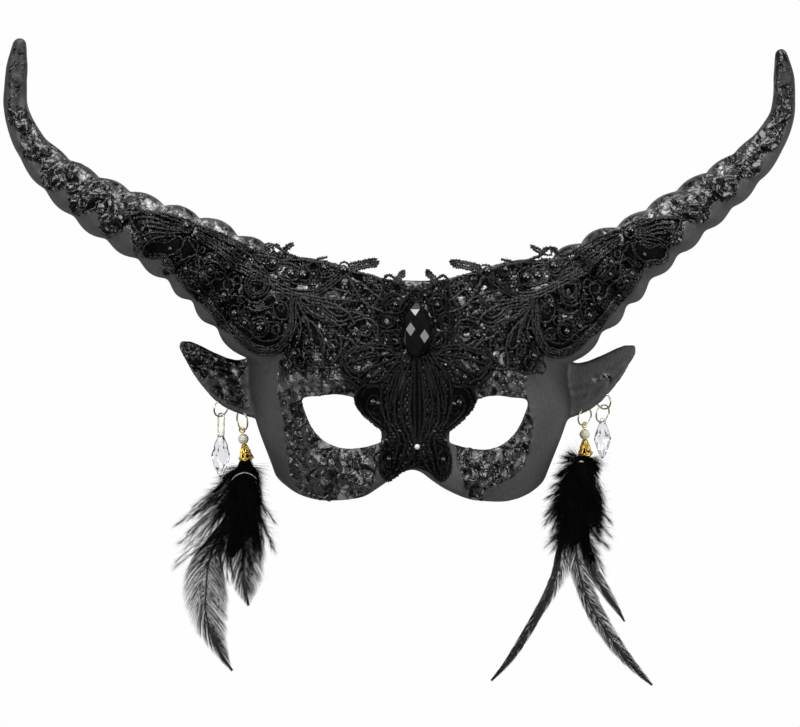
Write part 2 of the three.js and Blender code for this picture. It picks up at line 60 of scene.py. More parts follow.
table_mesh = bpy.data.meshes.new("table")
table_mesh.from_pydata([(-4, -4, 0), (4, -4, 0), (4, 4, 0), (-4, 4, 0)], [], [(0, 1, 2, 3)])
table = bpy.data.objects.new("table", table_mesh)
bpy.context.collection.objects.link(table)
table.location.z = -0.0002
table_white = bpy.data.materials.new("table_white")
table_white.use_nodes = True
shader = table_white.node_tree.nodes["Principled BSDF"]
shader.inputs["Base Color"].default_value = (0.5, 0.5, 0.5, 1)
shader.inputs["Roughness"].default_value = 0.9
shader.inputs["Specular IOR Level"].default_value = 0.1
glow = table_white.node_tree.nodes.new("ShaderNodeEmission")
glow.inputs["Color"].default_value = (0.99, 0.99, 0.99, 1)
seen = table_white.node_tree.nodes.new("ShaderNodeLightPath")
either = table_white.node_tree.nodes.new("ShaderNodeMixShader")
table_out = table_white.node_tree.nodes["Material Output"]
whitest = table_white.node_tree.nodes.new("ShaderNodeMath")
whitest.operation = "MAXIMUM"
for start, end in (
    (seen.outputs["Is Camera Ray"], whitest.inputs[0]),
    (seen.outputs["Is Transmission Ray"], whitest.inputs[1]),
    (whitest.outputs[0], either.inputs[0]),
    (shader.outputs[0], either.inputs[1]),
    (glow.outputs[0], either.inputs[2]),
    (either.outputs[0], table_out.inputs["Surface"]),
):
    table_white.node_tree.links.new(start, end)
table_mesh.materials.append(table_white)


def soft_box(name, place, size, power):
    """A rectangular lamp in metres and watts, turned towards the mask."""
    lamp = bpy.data.lights.new(name, "AREA")
    lamp.shape = "RECTANGLE"
    lamp.size, lamp.size_y = size
    lamp.energy = power
    box = bpy.data.objects.new(name, lamp)
    bpy.context.collection.objects.link(box)
    box.location = place
    box.rotation_euler = (-Vector(place)).to_track_quat("-Z", "Y").to_euler()


soft_box("beyond_the_horns", (0.05, 1.45, 0.8), (1.6, 1.1), 46)
soft_box("left_side", (-1.12, -0.15, 1.3), (0.5, 0.9), 12.5)
soft_box("right_side", (1.2, -0.35, 1.1), (0.5, 0.8), 11.5)
soft_box("left_card", (-0.63, 0.7, 1.55), (0.36, 0.36), 1.4)
soft_box("right_card", (0.65, 0.34, 1.64), (0.28, 0.28), 0.8)
soft_box("beside_the_camera", (-0.3, 0.1, 2.3), (0.6, 0.6), 3)

world = bpy.data.worlds.new("studio")
world.use_nodes = True
world.node_tree.nodes["Background"].inputs["Color"].default_value = (0.9, 0.92, 0.95, 1)
world.node_tree.nodes["Background"].inputs["Strength"].default_value = 0.06
bpy.context.scene.world = world
bpy.context.scene.view_settings.view_transform = "Standard"

CAMERA_DISTANCE = 2.0
CAMERA_YAW = math.radians(4)
CAMERA_ROLL = math.radians(0.5)
PICTURE_MIDDLE = Vector((0.0004, 0.0008, 0.005))
MILLIMETRES_PER_PIXEL = 0.4636
PICTURE_WIDTH = 800
SENSOR_WIDTH = 36
camera = bpy.data.objects.new("camera", bpy.data.cameras.new("camera"))
bpy.context.collection.objects.link(camera)
camera.data.sensor_width = SENSOR_WIDTH
camera.data.lens = SENSOR_WIDTH * CAMERA_DISTANCE / (PICTURE_WIDTH * MILLIMETRES_PER_PIXEL * MM)
camera.data.clip_end = 20
backwards = Vector((-math.sin(CAMERA_YAW), 0, math.cos(CAMERA_YAW)))
upwards = Vector((-math.sin(CAMERA_ROLL), math.cos(CAMERA_ROLL), 0))
rightwards = upwards.cross(backwards).normalized()
upwards = backwards.cross(rightwards)
camera.matrix_world = Matrix((
    (rightwards.x, upwards.x, backwards.x, PICTURE_MIDDLE.x + backwards.x * CAMERA_DISTANCE),
    (rightwards.y, upwards.y, backwards.y, PICTURE_MIDDLE.y + backwards.y * CAMERA_DISTANCE),
    (rightwards.z, upwards.z, backwards.z, PICTURE_MIDDLE.z + backwards.z * CAMERA_DISTANCE),
    (0, 0, 0, 1),
))
bpy.context.scene.camera = camera


# Mask body
# One moulded piece: a half-mask shell 3 mm thick, two swept horns with ridges winding round them, and two
# leaf-shaped ears. Black paint covers it, plain charcoal in places and thick, glossy and crinkled in
# others: on the brow, along the horns, round the eyes, over the cheeks and inside the ears.
# Pale grey on some crinkled flakes is painted highlight; darker paint on the horns' upper rims and
# along the left ear's fold is painted shade.

WALL = 3
TEMPLE_HALF_WIDTH = 73.8
CHEEK_NARROWING = 13.8
FACE_DEPTH = 62
FACE_ROUNDNESS = 2.3
NOSE_RISE = 11
HORN_LEAN = -3.8
HORN_SWAY = 1.1
LEFT_DRIFT = 2
RIGHT_DRIFT = 2.3
NOTCH_SHIFT = 1.2
NOTCH_DROP = 1
RIDGE_PITCH = 17
RIDGE_HEIGHT = 0.1
EAR_THICKNESS = 3.2
FORM_CELL = 1.1
SKIN_CELL = 0.72
SHELL_TRIANGLES = 190000
HORN_CAP = ((0.82, 1.2), (0.45, 2.2))  # share of the last ring, and how far on
LARGE_CRUMPLE = 7.5
SMALL_CRUMPLE = 4.2
CRUMPLE_TILT = 0.3


def soft_step(start, end, value):
    """0 before start, 1 after end, and a smooth rise between them."""
    t = np.clip((value - start) / (end - start), 0, 1)
    return t * t * (3 - 2 * t)


def hump(distance, width):
    return np.exp(-((distance / width) ** 2))


def new_piece(name, points, faces, material=None, smooth=True):
    """A mesh object from points in millimetres and an array of faces with equal numbers of corners."""
    mesh = bpy.data.meshes.new(name)
    faces = np.asarray(faces, dtype=np.int32)
    mesh.vertices.add(len(points))
    mesh.vertices.foreach_set("co", (np.asarray(points, dtype=float) * MM).ravel())
    mesh.loops.add(faces.size)
    mesh.loops.foreach_set("vertex_index", faces.ravel())
    mesh.polygons.add(len(faces))
    mesh.polygons.foreach_set("loop_start", np.arange(0, faces.size, faces.shape[1], dtype=np.int32))
    mesh.polygons.foreach_set("use_smooth", np.full(len(faces), smooth))
    mesh.update(calc_edges=True)
    mesh.validate()
    if material:
        mesh.materials.append(material)
    piece = bpy.data.objects.new(name, mesh)
    bpy.context.collection.objects.link(piece)
    return piece


def loft(rings):
    """A closed skin through rings of equal length: points and triangles, with a fan over each end."""
    rings = np.asarray(rings, dtype=float)
    stations, count, _ = rings.shape
    points = np.vstack([rings.reshape(-1, 3), rings[0].mean(axis=0), rings[-1].mean(axis=0)])
    k = np.arange(count)
    following = (k + 1) % count
    start = (np.arange(stations - 1) * count)[:, None]
    a, b = (start + k).ravel(), (start + following).ravel()
    ends = len(points) - 2
    last = (stations - 1) * count
    triangles = np.vstack([
        np.column_stack([a, b, b + count]),
        np.column_stack([a, b + count, a + count]),
        np.column_stack([following, k, np.full(count, ends)]),
        np.column_stack([last + k, last + following, np.full(count, ends + 1)]),
    ])
    corners = points[triangles]
    volume = np.einsum("ij,ij->i", corners[:, 0], np.cross(corners[:, 1], corners[:, 2])).sum()
    return points, triangles if volume > 0 else triangles[:, ::-1]


def flowing_line(nodes, spacing):
    """Points every so far along a smooth line through the nodes, and each one's place among the nodes."""
    nodes = np.asarray(nodes, dtype=float)
    padded = np.vstack([2 * nodes[0] - nodes[1], nodes, 2 * nodes[-1] - nodes[-2]])
    line, place = [], []
    for i in range(len(nodes) - 1):
        p0, p1, p2, p3 = padded[i : i + 4]
        d0, d1, d2 = (max(1e-6, np.linalg.norm(b - a)) ** 0.5 for a, b in ((p0, p1), (p1, p2), (p2, p3)))
        m1 = ((p1 - p0) / d0 - (p2 - p0) / (d0 + d1) + (p2 - p1) / d1) * d1
        m2 = ((p2 - p1) / d1 - (p3 - p1) / (d1 + d2) + (p3 - p2) / d2) * d1
        t = np.linspace(0, 1, 33)[:, None]
        if i:
            t = t[1:]
        line.append(
            (2 * t**3 - 3 * t**2 + 1) * p1 + (t**3 - 2 * t**2 + t) * m1
            + (3 * t**2 - 2 * t**3) * p2 + (t**3 - t**2) * m2
        )
        place.append(i + t[:, 0])
    line, place = np.vstack(line), np.concatenate(place)
    gone = np.concatenate([[0], np.cumsum(np.linalg.norm(np.diff(line, axis=0), axis=1))])
    wanted = np.linspace(0, gone[-1], max(3, int(round(gone[-1] / spacing)) + 1))
    smooth_line = np.column_stack([np.interp(wanted, gone, line[:, axis]) for axis in range(line.shape[1])])
    return smooth_line, np.interp(wanted, gone, place), wanted


def half_width(y):
    return TEMPLE_HALF_WIDTH - CHEEK_NARROWING * soft_step(-14, -66, y)


def drift(x, y):
    """How far the left eye hole and both cheeks stand to the right of a symmetrical face."""
    share = np.where(x < 0, LEFT_DRIFT * soft_step(12, 26, -x), RIGHT_DRIFT * soft_step(50, 64, x))
    return share * soft_step(-4, -22, y)


def face_points(angle, y):
    """Points of the face form, by the angle round it from the middle and the height up the face."""
    s, c = np.sin(angle), np.maximum(0, np.cos(angle))
    power = 2 / FACE_ROUNDNESS
    x = half_width(y) * np.sign(s) * np.abs(s) ** power
    side = np.abs(x)
    nose = NOSE_RISE * soft_step(6, -40, y) * hump(x, 9 + 0.12 * np.maximum(0, -y))
    brow = 3.5 * hump(side - 28, 22) * hump(y + 5, 9)
    socket = -6 * hump(side - 34, 17) * hump(y + 27, 13)
    cheek = 3 * hump(side - 36, 16) * hump(y + 50, 9)
    depth = FACE_DEPTH - 0.0042 * (y + 8) ** 2
    z = depth * c**power + (nose + brow + socket + cheek) * soft_step(0, 0.5, c)
    return np.stack([x + drift(x, y), y, z], axis=-1)


def face_form(offset, rows, columns):
    """The closed form of the face, grown outwards by offset, down to a little below the table."""
    y = np.linspace(-70, 62, rows + 1)[:, None] + np.zeros(columns + 1)
    v = np.linspace(1, -1, columns + 1)[None, :] + np.zeros((rows + 1, 1))
    angle = math.pi / 2 * (0.7 * v + 0.3 * v**3)
    step = 0.02
    inner = np.clip(angle, step - math.pi / 2, math.pi / 2 - step)
    across = face_points(inner + step, y) - face_points(inner - step, y)
    along = face_points(inner, y + 1) - face_points(inner, y - 1)
    normal = np.cross(across, along)
    normal /= np.linalg.norm(normal, axis=-1, keepdims=True)
    front = face_points(angle, y) + normal * offset
    left, right = (
        np.stack([front[:, end, 0], y[:, 0], np.full(rows + 1, -6.0)], axis=-1)[:, None] for end in (-1, 0)
    )
    return np.concatenate([front, left, right], axis=1)


HORN_PATH = [
    (30, 13, 24), (50, 21, 25), (66.3, 28.8, 23.4), (79.3, 36.9, 21), (94.3, 47.1, 19), (105.9, 54.9, 17),
    (120.7, 63.5, 15), (136.4, 72.9, 12.6), (150.8, 82.9, 10.2), (162.8, 93.2, 8.7), (171.1, 103.7, 8.2),
    (176.9, 116.7, 9.2), (177.9, 125.9, 10.4), (177.5, 136, 11.8), (176.2, 146.4, 13.4),
]
HORN_HALF_WIDTHS = [25, 27, 25.9, 21.8, 19, 16.7, 14.5, 12.9, 10.8, 8.8, 7.1, 5.7, 5.4, 5, 3.3]
HORN_HALF_DEPTHS = [22, 22.5, 22, 19.8, 18, 16, 14, 12.4, 10.5, 8.5, 6.8, 5.5, 5.3, 4.9, 3.2]
LEFT_HORN_BEND = [0, 0.8, 1.5, 1, 0.4, 0.3, 0.3, 0.9, 1.1, 1.3, 1.4, 0.9, 0.2, 0, 0.1]
RIGHT_HORN_BEND = [0, 1, 2, 1.3, 0.8, 1.9, 1.1, 0, -0.2, -0.5, -0.2, 0.3, 0.2, 0.1, -0.3]
RIGHT_HORN_EXTRA = [0, 0, -0.6, -0.7, -0.2, -1.5, -0.7, -0.6, 0.1, 0.5, 0.7, 0.3, -0.1, 0, -0.3]


def horn_line(side):
    """The horn's middle line, with its sideways and upward directions and its half sizes."""
    steps = np.arange(len(HORN_PATH))
    nodes = np.array(HORN_PATH) * (side, 1, 1)
    sway = HORN_SWAY * hump(steps - 7.5, 2.6)
    nodes[:, 0] += HORN_LEAN * soft_step(1, 9, steps) - 0.7 * sway
    nodes[:, 1] += side * (sway - 1.2 * hump(steps - 3.6, 1.4))
    along = np.roll(nodes, -1, axis=0) - np.roll(nodes, 1, axis=0)
    along[0], along[-1] = nodes[1] - nodes[0], nodes[-1] - nodes[-2]
    across = np.column_stack([along[:, 1], -along[:, 0]]) / np.hypot(along[:, 0], along[:, 1])[:, None]
    nodes[:, :2] += across * side * np.array(LEFT_HORN_BEND if side < 0 else RIGHT_HORN_BEND)[:, None]
    line, place, gone = flowing_line(nodes, 1)
    forward = np.gradient(line, axis=0)
    forward /= np.linalg.norm(forward, axis=1, keepdims=True)
    outward = np.column_stack([forward[:, 1], -forward[:, 0], np.zeros(len(line))])
    outward /= np.linalg.norm(outward, axis=1, keepdims=True)
    up = np.cross(outward, forward)
    wide = np.interp(place, steps, HORN_HALF_WIDTHS)
    if side > 0:
        wide += np.interp(place, steps, RIGHT_HORN_EXTRA)
    deep = np.interp(place, steps, HORN_HALF_DEPTHS)
    return line, outward, up, wide, deep, gone


def horn_rings(side, sides=72):
    line, outward, up, wide, deep, gone = horn_line(side)
    turn = np.arange(sides) / sides
    wound = gone[:, None] / RIDGE_PITCH + 2 * side * turn
    strength = RIDGE_HEIGHT * soft_step(30, 62, gone) * soft_step(gone[-1] - 32, gone[-1] - 70, gone)
    swell = 1 + strength[:, None] * (1.9 * np.abs(np.sin(math.pi * wound)) - 1.2)
    angle = 2 * math.pi * turn
    reach_out = (wide[:, None] * swell * np.cos(angle))[..., None] * outward[:, None]
    reach_up = (deep[:, None] * (1 + 1.5 * (swell - 1)) * np.sin(angle))[..., None] * up[:, None]
    rings = line[:, None] + reach_out + reach_up
    forward = (line[-1] - line[-2]) / np.linalg.norm(line[-1] - line[-2])
    rounded = [(rings[-1:] - line[-1]) * size + line[-1] + forward * on for size, on in HORN_CAP]
    return np.concatenate([rings, *rounded])


EAR_UPPER = [(68, 5), (79.5, 2.2), (90.2, 5.8), (99, 9.9), (105.8, 11.1)]
EAR_LOWER = [(68, -26), (76, -24), (86.5, -19.2), (97, -8.2), (106.2, 6.9)]
EAR_HEIGHT = [10.5, 9.2, 9.2, 10.6, 12.6]


def ear_rings(side):
    """A leaf with a raised rim, a dished front, a fold along its middle and a rounded back."""
    stations, across = 60, 48
    upper = flowing_line(EAR_UPPER, 0.1)
    lower = flowing_line(EAR_LOWER, 0.1)
    rings = []
    for t in np.linspace(0, 1, stations + 1):
        a, b = (
            np.array([np.interp(t * 4, place, line[:, axis]) for axis in (0, 1)])
            for line, place, _ in (upper, lower)
        )
        is_open = 1 - soft_step(0.7, 1, t)
        thick = EAR_THICKNESS * (0.7 + 0.3 * is_open)
        height = np.interp(t * 4, range(5), EAR_HEIGHT)
        v = np.linspace(0, 1, across + 1)
        dish = -3 * np.sin(math.pi * soft_step(0.06, 0.94, v)) ** 1.2
        fold = 1.9 * hump(v - 0.4, 0.12)
        top = height + thick / 2 + (dish + fold) * is_open * 0.8
        back_v = np.linspace(0.98, 0.02, 20)
        back = height - thick / 2 - 2.4 * np.sin(math.pi * back_v) * is_open
        v, z = np.concatenate([v, back_v]), np.concatenate([top, back])
        flat = a + (b - a) * v[:, None]
        rings.append(np.column_stack([flat * (side, 1), z]))
    return rings


def set_in_place(points):
    """From the face's middle plane to the mask's own frame."""
    return np.asarray(points, dtype=float) + (FACE_MIDDLE, 0, 0)


def form(name, rings):
    points, triangles = loft(rings)
    return new_piece(name, set_in_place(points), triangles)


def applied(piece):
    """The piece with its modifiers made real."""
    made = bpy.data.meshes.new_from_object(piece.evaluated_get(bpy.context.evaluated_depsgraph_get()))
    old, piece.data = piece.data, made
    piece.modifiers.clear()
    bpy.data.meshes.remove(old)
    return piece


def cut(piece, cutter, operation="DIFFERENCE"):
    modifier = piece.modifiers.new("cut", "BOOLEAN")
    modifier.operation = operation
    modifier.solver = "MANIFOLD"
    modifier.object = cutter
    applied(piece)
    bpy.data.objects.remove(cutter)
    return piece


def joined(pieces, name):
    """Several meshes as one piece, their skins still crossing."""
    corners, faces, count = [], [], 0
    for piece in pieces:
        points = np.empty(len(piece.data.vertices) * 3)
        piece.data.vertices.foreach_get("co", points)
        corners.append(points.reshape(-1, 3) / MM)
        piece.data.calc_loop_triangles()
        triangles = np.empty(len(piece.data.loop_triangles) * 3, dtype=np.int32)
        piece.data.loop_triangles.foreach_get("vertices", triangles)
        faces.append(triangles.reshape(-1, 3) + count)
        count += len(piece.data.vertices)
        bpy.data.objects.remove(piece)
    return new_piece(name, np.vstack(corners), np.vstack(faces))


def even_skin(piece, size, rounding=0):
    """One skin of even small faces, in metres, smoothed so many times."""
    remesh = piece.modifiers.new("skin", "REMESH")
    remesh.mode = "VOXEL"
    remesh.voxel_size = size
    if rounding:
        soften = piece.modifiers.new("soften", "SMOOTH")
        soften.factor = 0.5
        soften.iterations = rounding
    return applied(piece)


def prism(name, outline, low, high):
    """An upright solid over a smooth closed outline."""
    outline = np.asarray(outline, dtype=float)
    rings = [np.column_stack([outline, np.full(len(outline), float(z))]) for z in (low, high)]
    return form(name, rings)


HALF_OUTLINE = [
    (0, 38.3), (12, 39), (22, 41.5), (36, 46), (52, 49), (68, 46), (88, 30), (93, 0), (88, -24), (76, -40),
    (66.5, -47), (60, -54.4), (53, -59.4), (44, -61.8), (34, -61.6), (25, -60), (16, -55.6), (9, -51.2),
    (3.6, -47.6), (0, -46.6),
]
EYE = [
    (15.4, -34.8), (24, -37.1), (33.5, -37.9), (40.5, -35.8), (46.3, -31), (50.4, -23.5), (51.9, -15.6),
    (44.5, -14.2), (36.5, -13.4), (28.5, -15), (21, -20.5), (16, -28.5), (15.4, -34.8),
]
half_outline = flowing_line(HALF_OUTLINE, 1.2)[0]
outline = np.vstack([half_outline, (half_outline * (-1, 1))[-2:0:-1]])
near_notch = soft_step(-36, -44, outline[:, 1])
outline = outline + np.column_stack([
    drift(*outline.T) - NOTCH_SHIFT * near_notch * (1 - soft_step(6, 24, np.abs(outline[:, 0]))),
    -NOTCH_DROP * near_notch * hump(outline[:, 0] - 14, 12),
])
eye = flowing_line(EYE, 1)[0][:-1]

face = cut(form("face", face_form(0, 120, 170)), prism("outline", outline, -20, 120), "INTERSECT")
forms = [face] + [form("horn", horn_rings(side)) for side in (-1, 1)]
forms += [form("ear", ear_rings(side)) for side in (-1, 1)]
body = even_skin(joined(forms, "black_mask"), FORM_CELL * MM, rounding=5)
uncut_skin = BVHTree.FromObject(body, bpy.context.evaluated_depsgraph_get())
cut(body, form("hollow", face_form(-WALL, 90, 120)))
for side in (-1, 1):
    hole = eye * (side, 1)
    hole[:, 0] += drift(*hole.T)
    cut(body, prism("eye_hole", hole, -20, 120))
cut(body, prism("below_the_table", [(-250, -250), (250, -250), (250, 250), (-250, 250)], -40, 0))
even_skin(body, SKIN_CELL * MM)


def positions(piece):
    points = np.empty(len(piece.data.vertices) * 3)
    piece.data.vertices.foreach_get("co", points)
    return points.reshape(-1, 3) / MM - (FACE_MIDDLE, 0, 0)


def depth_inside(flat, outline):
    """How far inside a closed outline each point is, and less than 0 outside it."""
    start = np.asarray(outline, dtype=float)
    end = np.roll(start, -1, axis=0)
    nearest = np.full(len(flat), np.inf)
    inside = np.zeros(len(flat), dtype=bool)
    for a, b in zip(start, end):
        along = b - a
        t = np.clip((flat - a) @ along / (along @ along), 0, 1)
        nearest = np.minimum(nearest, np.hypot(*(flat - a - t[:, None] * along).T))
        if a[1] != b[1]:
            crossing = (flat[:, 1] > min(a[1], b[1])) & (flat[:, 1] <= max(a[1], b[1]))
            inside ^= crossing & (a[0] + (flat[:, 1] - a[1]) * along[0] / along[1] < flat[:, 0])
    return np.where(inside, nearest, -nearest)


LEFT_CHEEK = [
    (-61, 2), (-63, -14), (-60.5, -28), (-58.5, -42), (-57, -51), (-52, -60), (-40, -66), (-26, -63),
    (-20, -56), (-17.5, -46), (-14, -38), (-14, -30), (-20, -18), (-28, -2), (-36, 6),
]
RIGHT_CHEEK = [
    (18, -34), (20, -46), (24, -57), (28, -67), (33, -67), (32.5, -57), (38, -54), (44, -52), (51, -47),
    (54, -38), (54.5, -26), (52, -17), (52, -4), (44, 4), (28, 4), (24, -14), (16, -30),
]
# A fold across the left ear, with painted shade along it as a black line.
EAR_FOLD = flowing_line([(-97.5, 1.5), (-91, -0.2), (-85.1, -2.8), (-80.5, -7), (-77.5, -12)], 0.5)[0][:, :2]
# Patches of painted highlight on the left ear: where each is, two directions that stretch it, and its size.
EAR_PATCHES = (
    (-91, -4, (0.6, -0.45), (1.1, 1.4), 3),
    (-84.8, -10.5, (0.8, -0.5), (0.9, 1.2), 2.3),
    (-80, -3, (1.3, 0.8), (0.5, -0.9), 2.6),
)
EAR_STREAK_AT = (88.5, -8)


def crinkled_places(points):
    """1 where the paint is thick and crinkled and 0 where it is plain, and how much painted highlight it gets
    there, which below 0 is painted shade that darkens the paint.
    """
    x, y, z = points.T
    side = np.abs(x)
    flat = np.column_stack([x - drift(x, y), y])
    cheeks = np.maximum(depth_inside(flat, LEFT_CHEEK), depth_inside(flat, RIGHT_CHEEK))
    cheeks = soft_step(-1, 1.5, cheeks)
    forehead = soft_step(-5, 1, y) * soft_step(2, -4, side - 54 - 0.9 * np.maximum(0, y - 18))
    forehead = forehead * soft_step(22, 30, z)
    upper, lower = (flowing_line(edge, 0.2)[0] for edge in (EAR_UPPER, EAR_LOWER))
    top, bottom = (np.interp(side, edge[:, 0], edge[:, 1]) for edge in (upper, lower))
    across = (top - y) / np.maximum(0.5, top - bottom)
    # The left ear is crinkled all over its dish, the right one only along a streak in the middle.
    flat_points = np.column_stack([x, y])
    ear_dish = soft_step(0.0, 0.04, across) * soft_step(0.93, 0.84, across) * soft_step(5, 6, z) * (x < 0)
    ear_dish *= soft_step(74, 79, side + 0.3 * np.abs(y + 8))
    over, above = x - EAR_STREAK_AT[0], y - EAR_STREAK_AT[1]
    streak = np.hypot(over * 0.87 + above * 0.5, 2.4 * (above * 0.87 - over * 0.5))
    ear_dish = np.maximum(ear_dish, 0.7 * soft_step(13.5, 5, streak))
    left_ear = np.flatnonzero(x < -72)
    fold = np.full(len(x), 9.0)
    fold[left_ear] = np.hypot(*(flat_points[left_ear, None] - EAR_FOLD[None]).transpose(2, 0, 1)).min(axis=1)
    fold = soft_step(2, 1, fold)
    patches = np.zeros(len(x))
    for patch_x, patch_y, one_way, other_way, size in EAR_PATCHES:
        spot = np.stack([x - patch_x, y - patch_y], axis=1)
        patches += hump(np.hypot((spot * one_way).sum(axis=1), (spot * other_way).sum(axis=1)), size)
    ear_dish = np.where(x < 0, ear_dish * np.clip(0.8 + fold + patches, 0, 1), ear_dish)
    places = np.maximum.reduce([cheeks, forehead, ear_dish])
    places *= soft_step(8.5, 10.5, np.hypot(np.abs(flat[:, 0]) - 20, y + 18))  # plain below the eye lobes
    places *= 1 - 0.55 * hump(y + 9.3, 4.5) * soft_step(17, 22, side)  # streaky above the eyes
    # Painted highlight, pale flakes where crests would catch the light: some of the cheeks, the forehead,
    # the ear dishes, and the upper flank of each swell of the horns. Along the left ear's fold, painted
    # shade.
    ear_painted_light = np.where(x < 0, 0.5 + 0.9 * patches - 0.9 * fold, 0.95 - 0.85 * soft_step(87, 83, x))
    painted_light = np.maximum.reduce([0.6 * cheeks, 0.76 * forehead, ear_painted_light * (ear_dish > 0.01)])
    # Along each horn, all but a thin upper rim and the lower part of the first few swells.
    for horn_side in (-1, 1):
        line, outward, up, wide, deep, gone = horn_line(horn_side)
        near = np.flatnonzero(x * horn_side > 44)
        spots = points[near]
        closest = np.empty(len(near), dtype=int)
        for start in range(0, len(near), 4000):
            chunk = spots[start : start + 4000]
            apart = ((chunk[:, None, :] - line[None, ::2]) ** 2).sum(axis=2)
            closest[start : start + 4000] = apart.argmin(axis=1) * 2
        to_side = ((spots - line[closest]) * outward[closest]).sum(axis=1) / wide[closest] * horn_side
        to_top = ((spots - line[closest]) * up[closest]).sum(axis=1) / deep[closest]
        reach, scallop, bare_tip = (0.38, 0.2, 0.5) if horn_side > 0 else (0.58, 0.3, 0.6)
        swells = reach + scallop * np.cos(2 * math.pi * gone[closest] / RIDGE_PITCH)
        tip = soft_step(104, 122, spots[:, 1])
        lower_limit = swells + (0.7 - swells) * tip
        root = soft_step(130, 118, spots[:, 0] * horn_side)
        band = soft_step(-1.06 - 0.2 * root, -1 - 0.2 * root, to_side)
        band = band * soft_step(lower_limit + 0.08, lower_limit - 0.08, to_side)
        band = band * soft_step(-0.1, 0.2, to_top) * (1 - bare_tip * tip)
        band *= spots[:, 1] > 3 + 0.05 * spots[:, 0] * horn_side
        places[near] = np.maximum(places[near], band)
        winding = 2 * math.pi * (gone[closest] / RIDGE_PITCH + 0.5 * to_side)
        flank = hump(to_side + 0.5 + 0.12 * np.cos(winding), 0.3) * (0.55 + 0.85 * np.cos(winding))
        flank += 0.22 * hump(to_side - 0.15, 0.16)
        # Above the lace the painted highlight runs on in one strip along the upper edge.
        flank = np.maximum(flank, 1.25 * hump(to_side + 0.8, 0.28) * root * (0.8 + 0.2 * np.cos(2 * winding)))
        # The upper rim gets painted shade, and the paint is darker towards each tip.
        rim = 0.45 * soft_step(-0.8, -1, to_side) * (np.abs(to_side) < 1.3) * (spots[:, 1] > 40)
        painted_light[near] = np.where(band > 0.02, flank * (1 - 0.4 * tip), painted_light[near]) - np.maximum(0.75 * tip, rim)
    return places * soft_step(0.5, 2.5, z), painted_light


def facets(points, where, size, tilt, seed):
    """Heights that break a skin into flat facets of about this size, tilted every way."""
    draw = np.random.default_rng(seed)
    chosen = np.flatnonzero(where > 0.02)
    spots = points[chosen]
    bent = spots + 0.3 * size * np.sin(spots[:, [1, 2, 0]] * (2.2 / size) + draw.uniform(0, 6, 3))
    middles = bent[draw.choice(len(bent), int(len(bent) * SKIN_CELL**2 / size**2), replace=False)]
    found = KDTree(len(middles))
    for number, middle in enumerate(middles):
        found.insert(middle, number)
    found.balance()
    nearest = [found.find_n(spot, 4) for spot in bent]
    owners = np.array([[owner for _, owner, _ in four] for four in nearest])
    apart = np.array([[gap for _, _, gap in four] for four in nearest])
    share = np.exp(-(apart**2 - apart[:, :1] ** 2) / (0.22 * size) ** 2)
    lean = draw.normal(0, tilt, middles.shape)
    planes = ((bent[:, None] - middles[owners]) * lean[owners]).sum(axis=2)
    height = np.zeros(len(points))
    height[chosen] = (planes * share).sum(axis=1) / share.sum(axis=1)
    return height


points = positions(body)
normals = np.empty(len(points) * 3)
body.data.vertices.foreach_get("normal", normals)
normals = normals.reshape(-1, 3)
outer = np.where(points[:, 2] > 3, 1, 0) * soft_step(-0.2, 0.1, normals[:, 2])
crinkled, _ = crinkled_places(points)
crumple = facets(points, crinkled, LARGE_CRUMPLE, CRUMPLE_TILT, 11)
crumple = crumple + facets(points, crinkled, SMALL_CRUMPLE, CRUMPLE_TILT, 5)
relief = crinkled * np.clip(crumple, -1, 1)
# Every cut edge is smooth: the crinkles die away just inside it.
edge_spots = np.flatnonzero(np.abs(normals[:, 2]) < 0.3)[::2]
edges = KDTree(len(edge_spots))
for number in edge_spots:
    edges.insert(points[number], int(number))
edges.balance()
for number in np.flatnonzero(np.abs(relief) > 0.02):
    relief[number] *= soft_step(0.3, 1.8, edges.find(points[number])[2])
points = points + normals * (relief * outer)[:, None]
body.data.vertices.foreach_set("co", (set_in_place(points) * MM).ravel())
thin_out = body.modifiers.new("thin_out", "DECIMATE")
body.data.calc_loop_triangles()
thin_out.ratio = SHELL_TRIANGLES / len(body.data.loop_triangles)
applied(body)
body.data.polygons.foreach_set("use_smooth", np.ones(len(body.data.polygons), dtype=bool))
# The second attribute is painted light: painted highlight on the flakes, painted shade below 0.
for name, values in zip(("crinkle", "painted_light_amount"), crinkled_places(positions(body))):
    body.data.attributes.new(name, "FLOAT", "POINT").data.foreach_set("value", values)


def socket(group, name, kind, into):
    return group.interface.new_socket(name=name, in_out="INPUT" if into else "OUTPUT", socket_type=kind)


def link(tree, *pairs):
    for source, target in pairs:
        tree.links.new(source, target)


# Paint textures. Grain is brush streaks and fine grit. Crackle is small flat flakes with seams between them.
grain = bpy.data.node_groups.new("grain", "ShaderNodeTree")
for name, default in (("Size", 900.0), ("Stretch", 1.0), ("Detail", 6.0)):
    socket(grain, name, "NodeSocketFloat", True).default_value = default
for name in ("Value", "Patches"):
    socket(grain, name, "NodeSocketFloat", False)
given, result = grain.nodes.new("NodeGroupInput"), grain.nodes.new("NodeGroupOutput")
place = grain.nodes.new("ShaderNodeTexCoord")
stretch = grain.nodes.new("ShaderNodeCombineXYZ")
stretched = grain.nodes.new("ShaderNodeVectorMath")
stretched.operation = "MULTIPLY"
stretch.inputs["Y"].default_value = 1
fine = grain.nodes.new("ShaderNodeTexNoise")
broad = grain.nodes.new("ShaderNodeTexNoise")
broad.inputs["Detail"].default_value = 3
broad_size = grain.nodes.new("ShaderNodeMath")
broad_size.operation = "MULTIPLY"
broad_size.inputs[1].default_value = 0.15
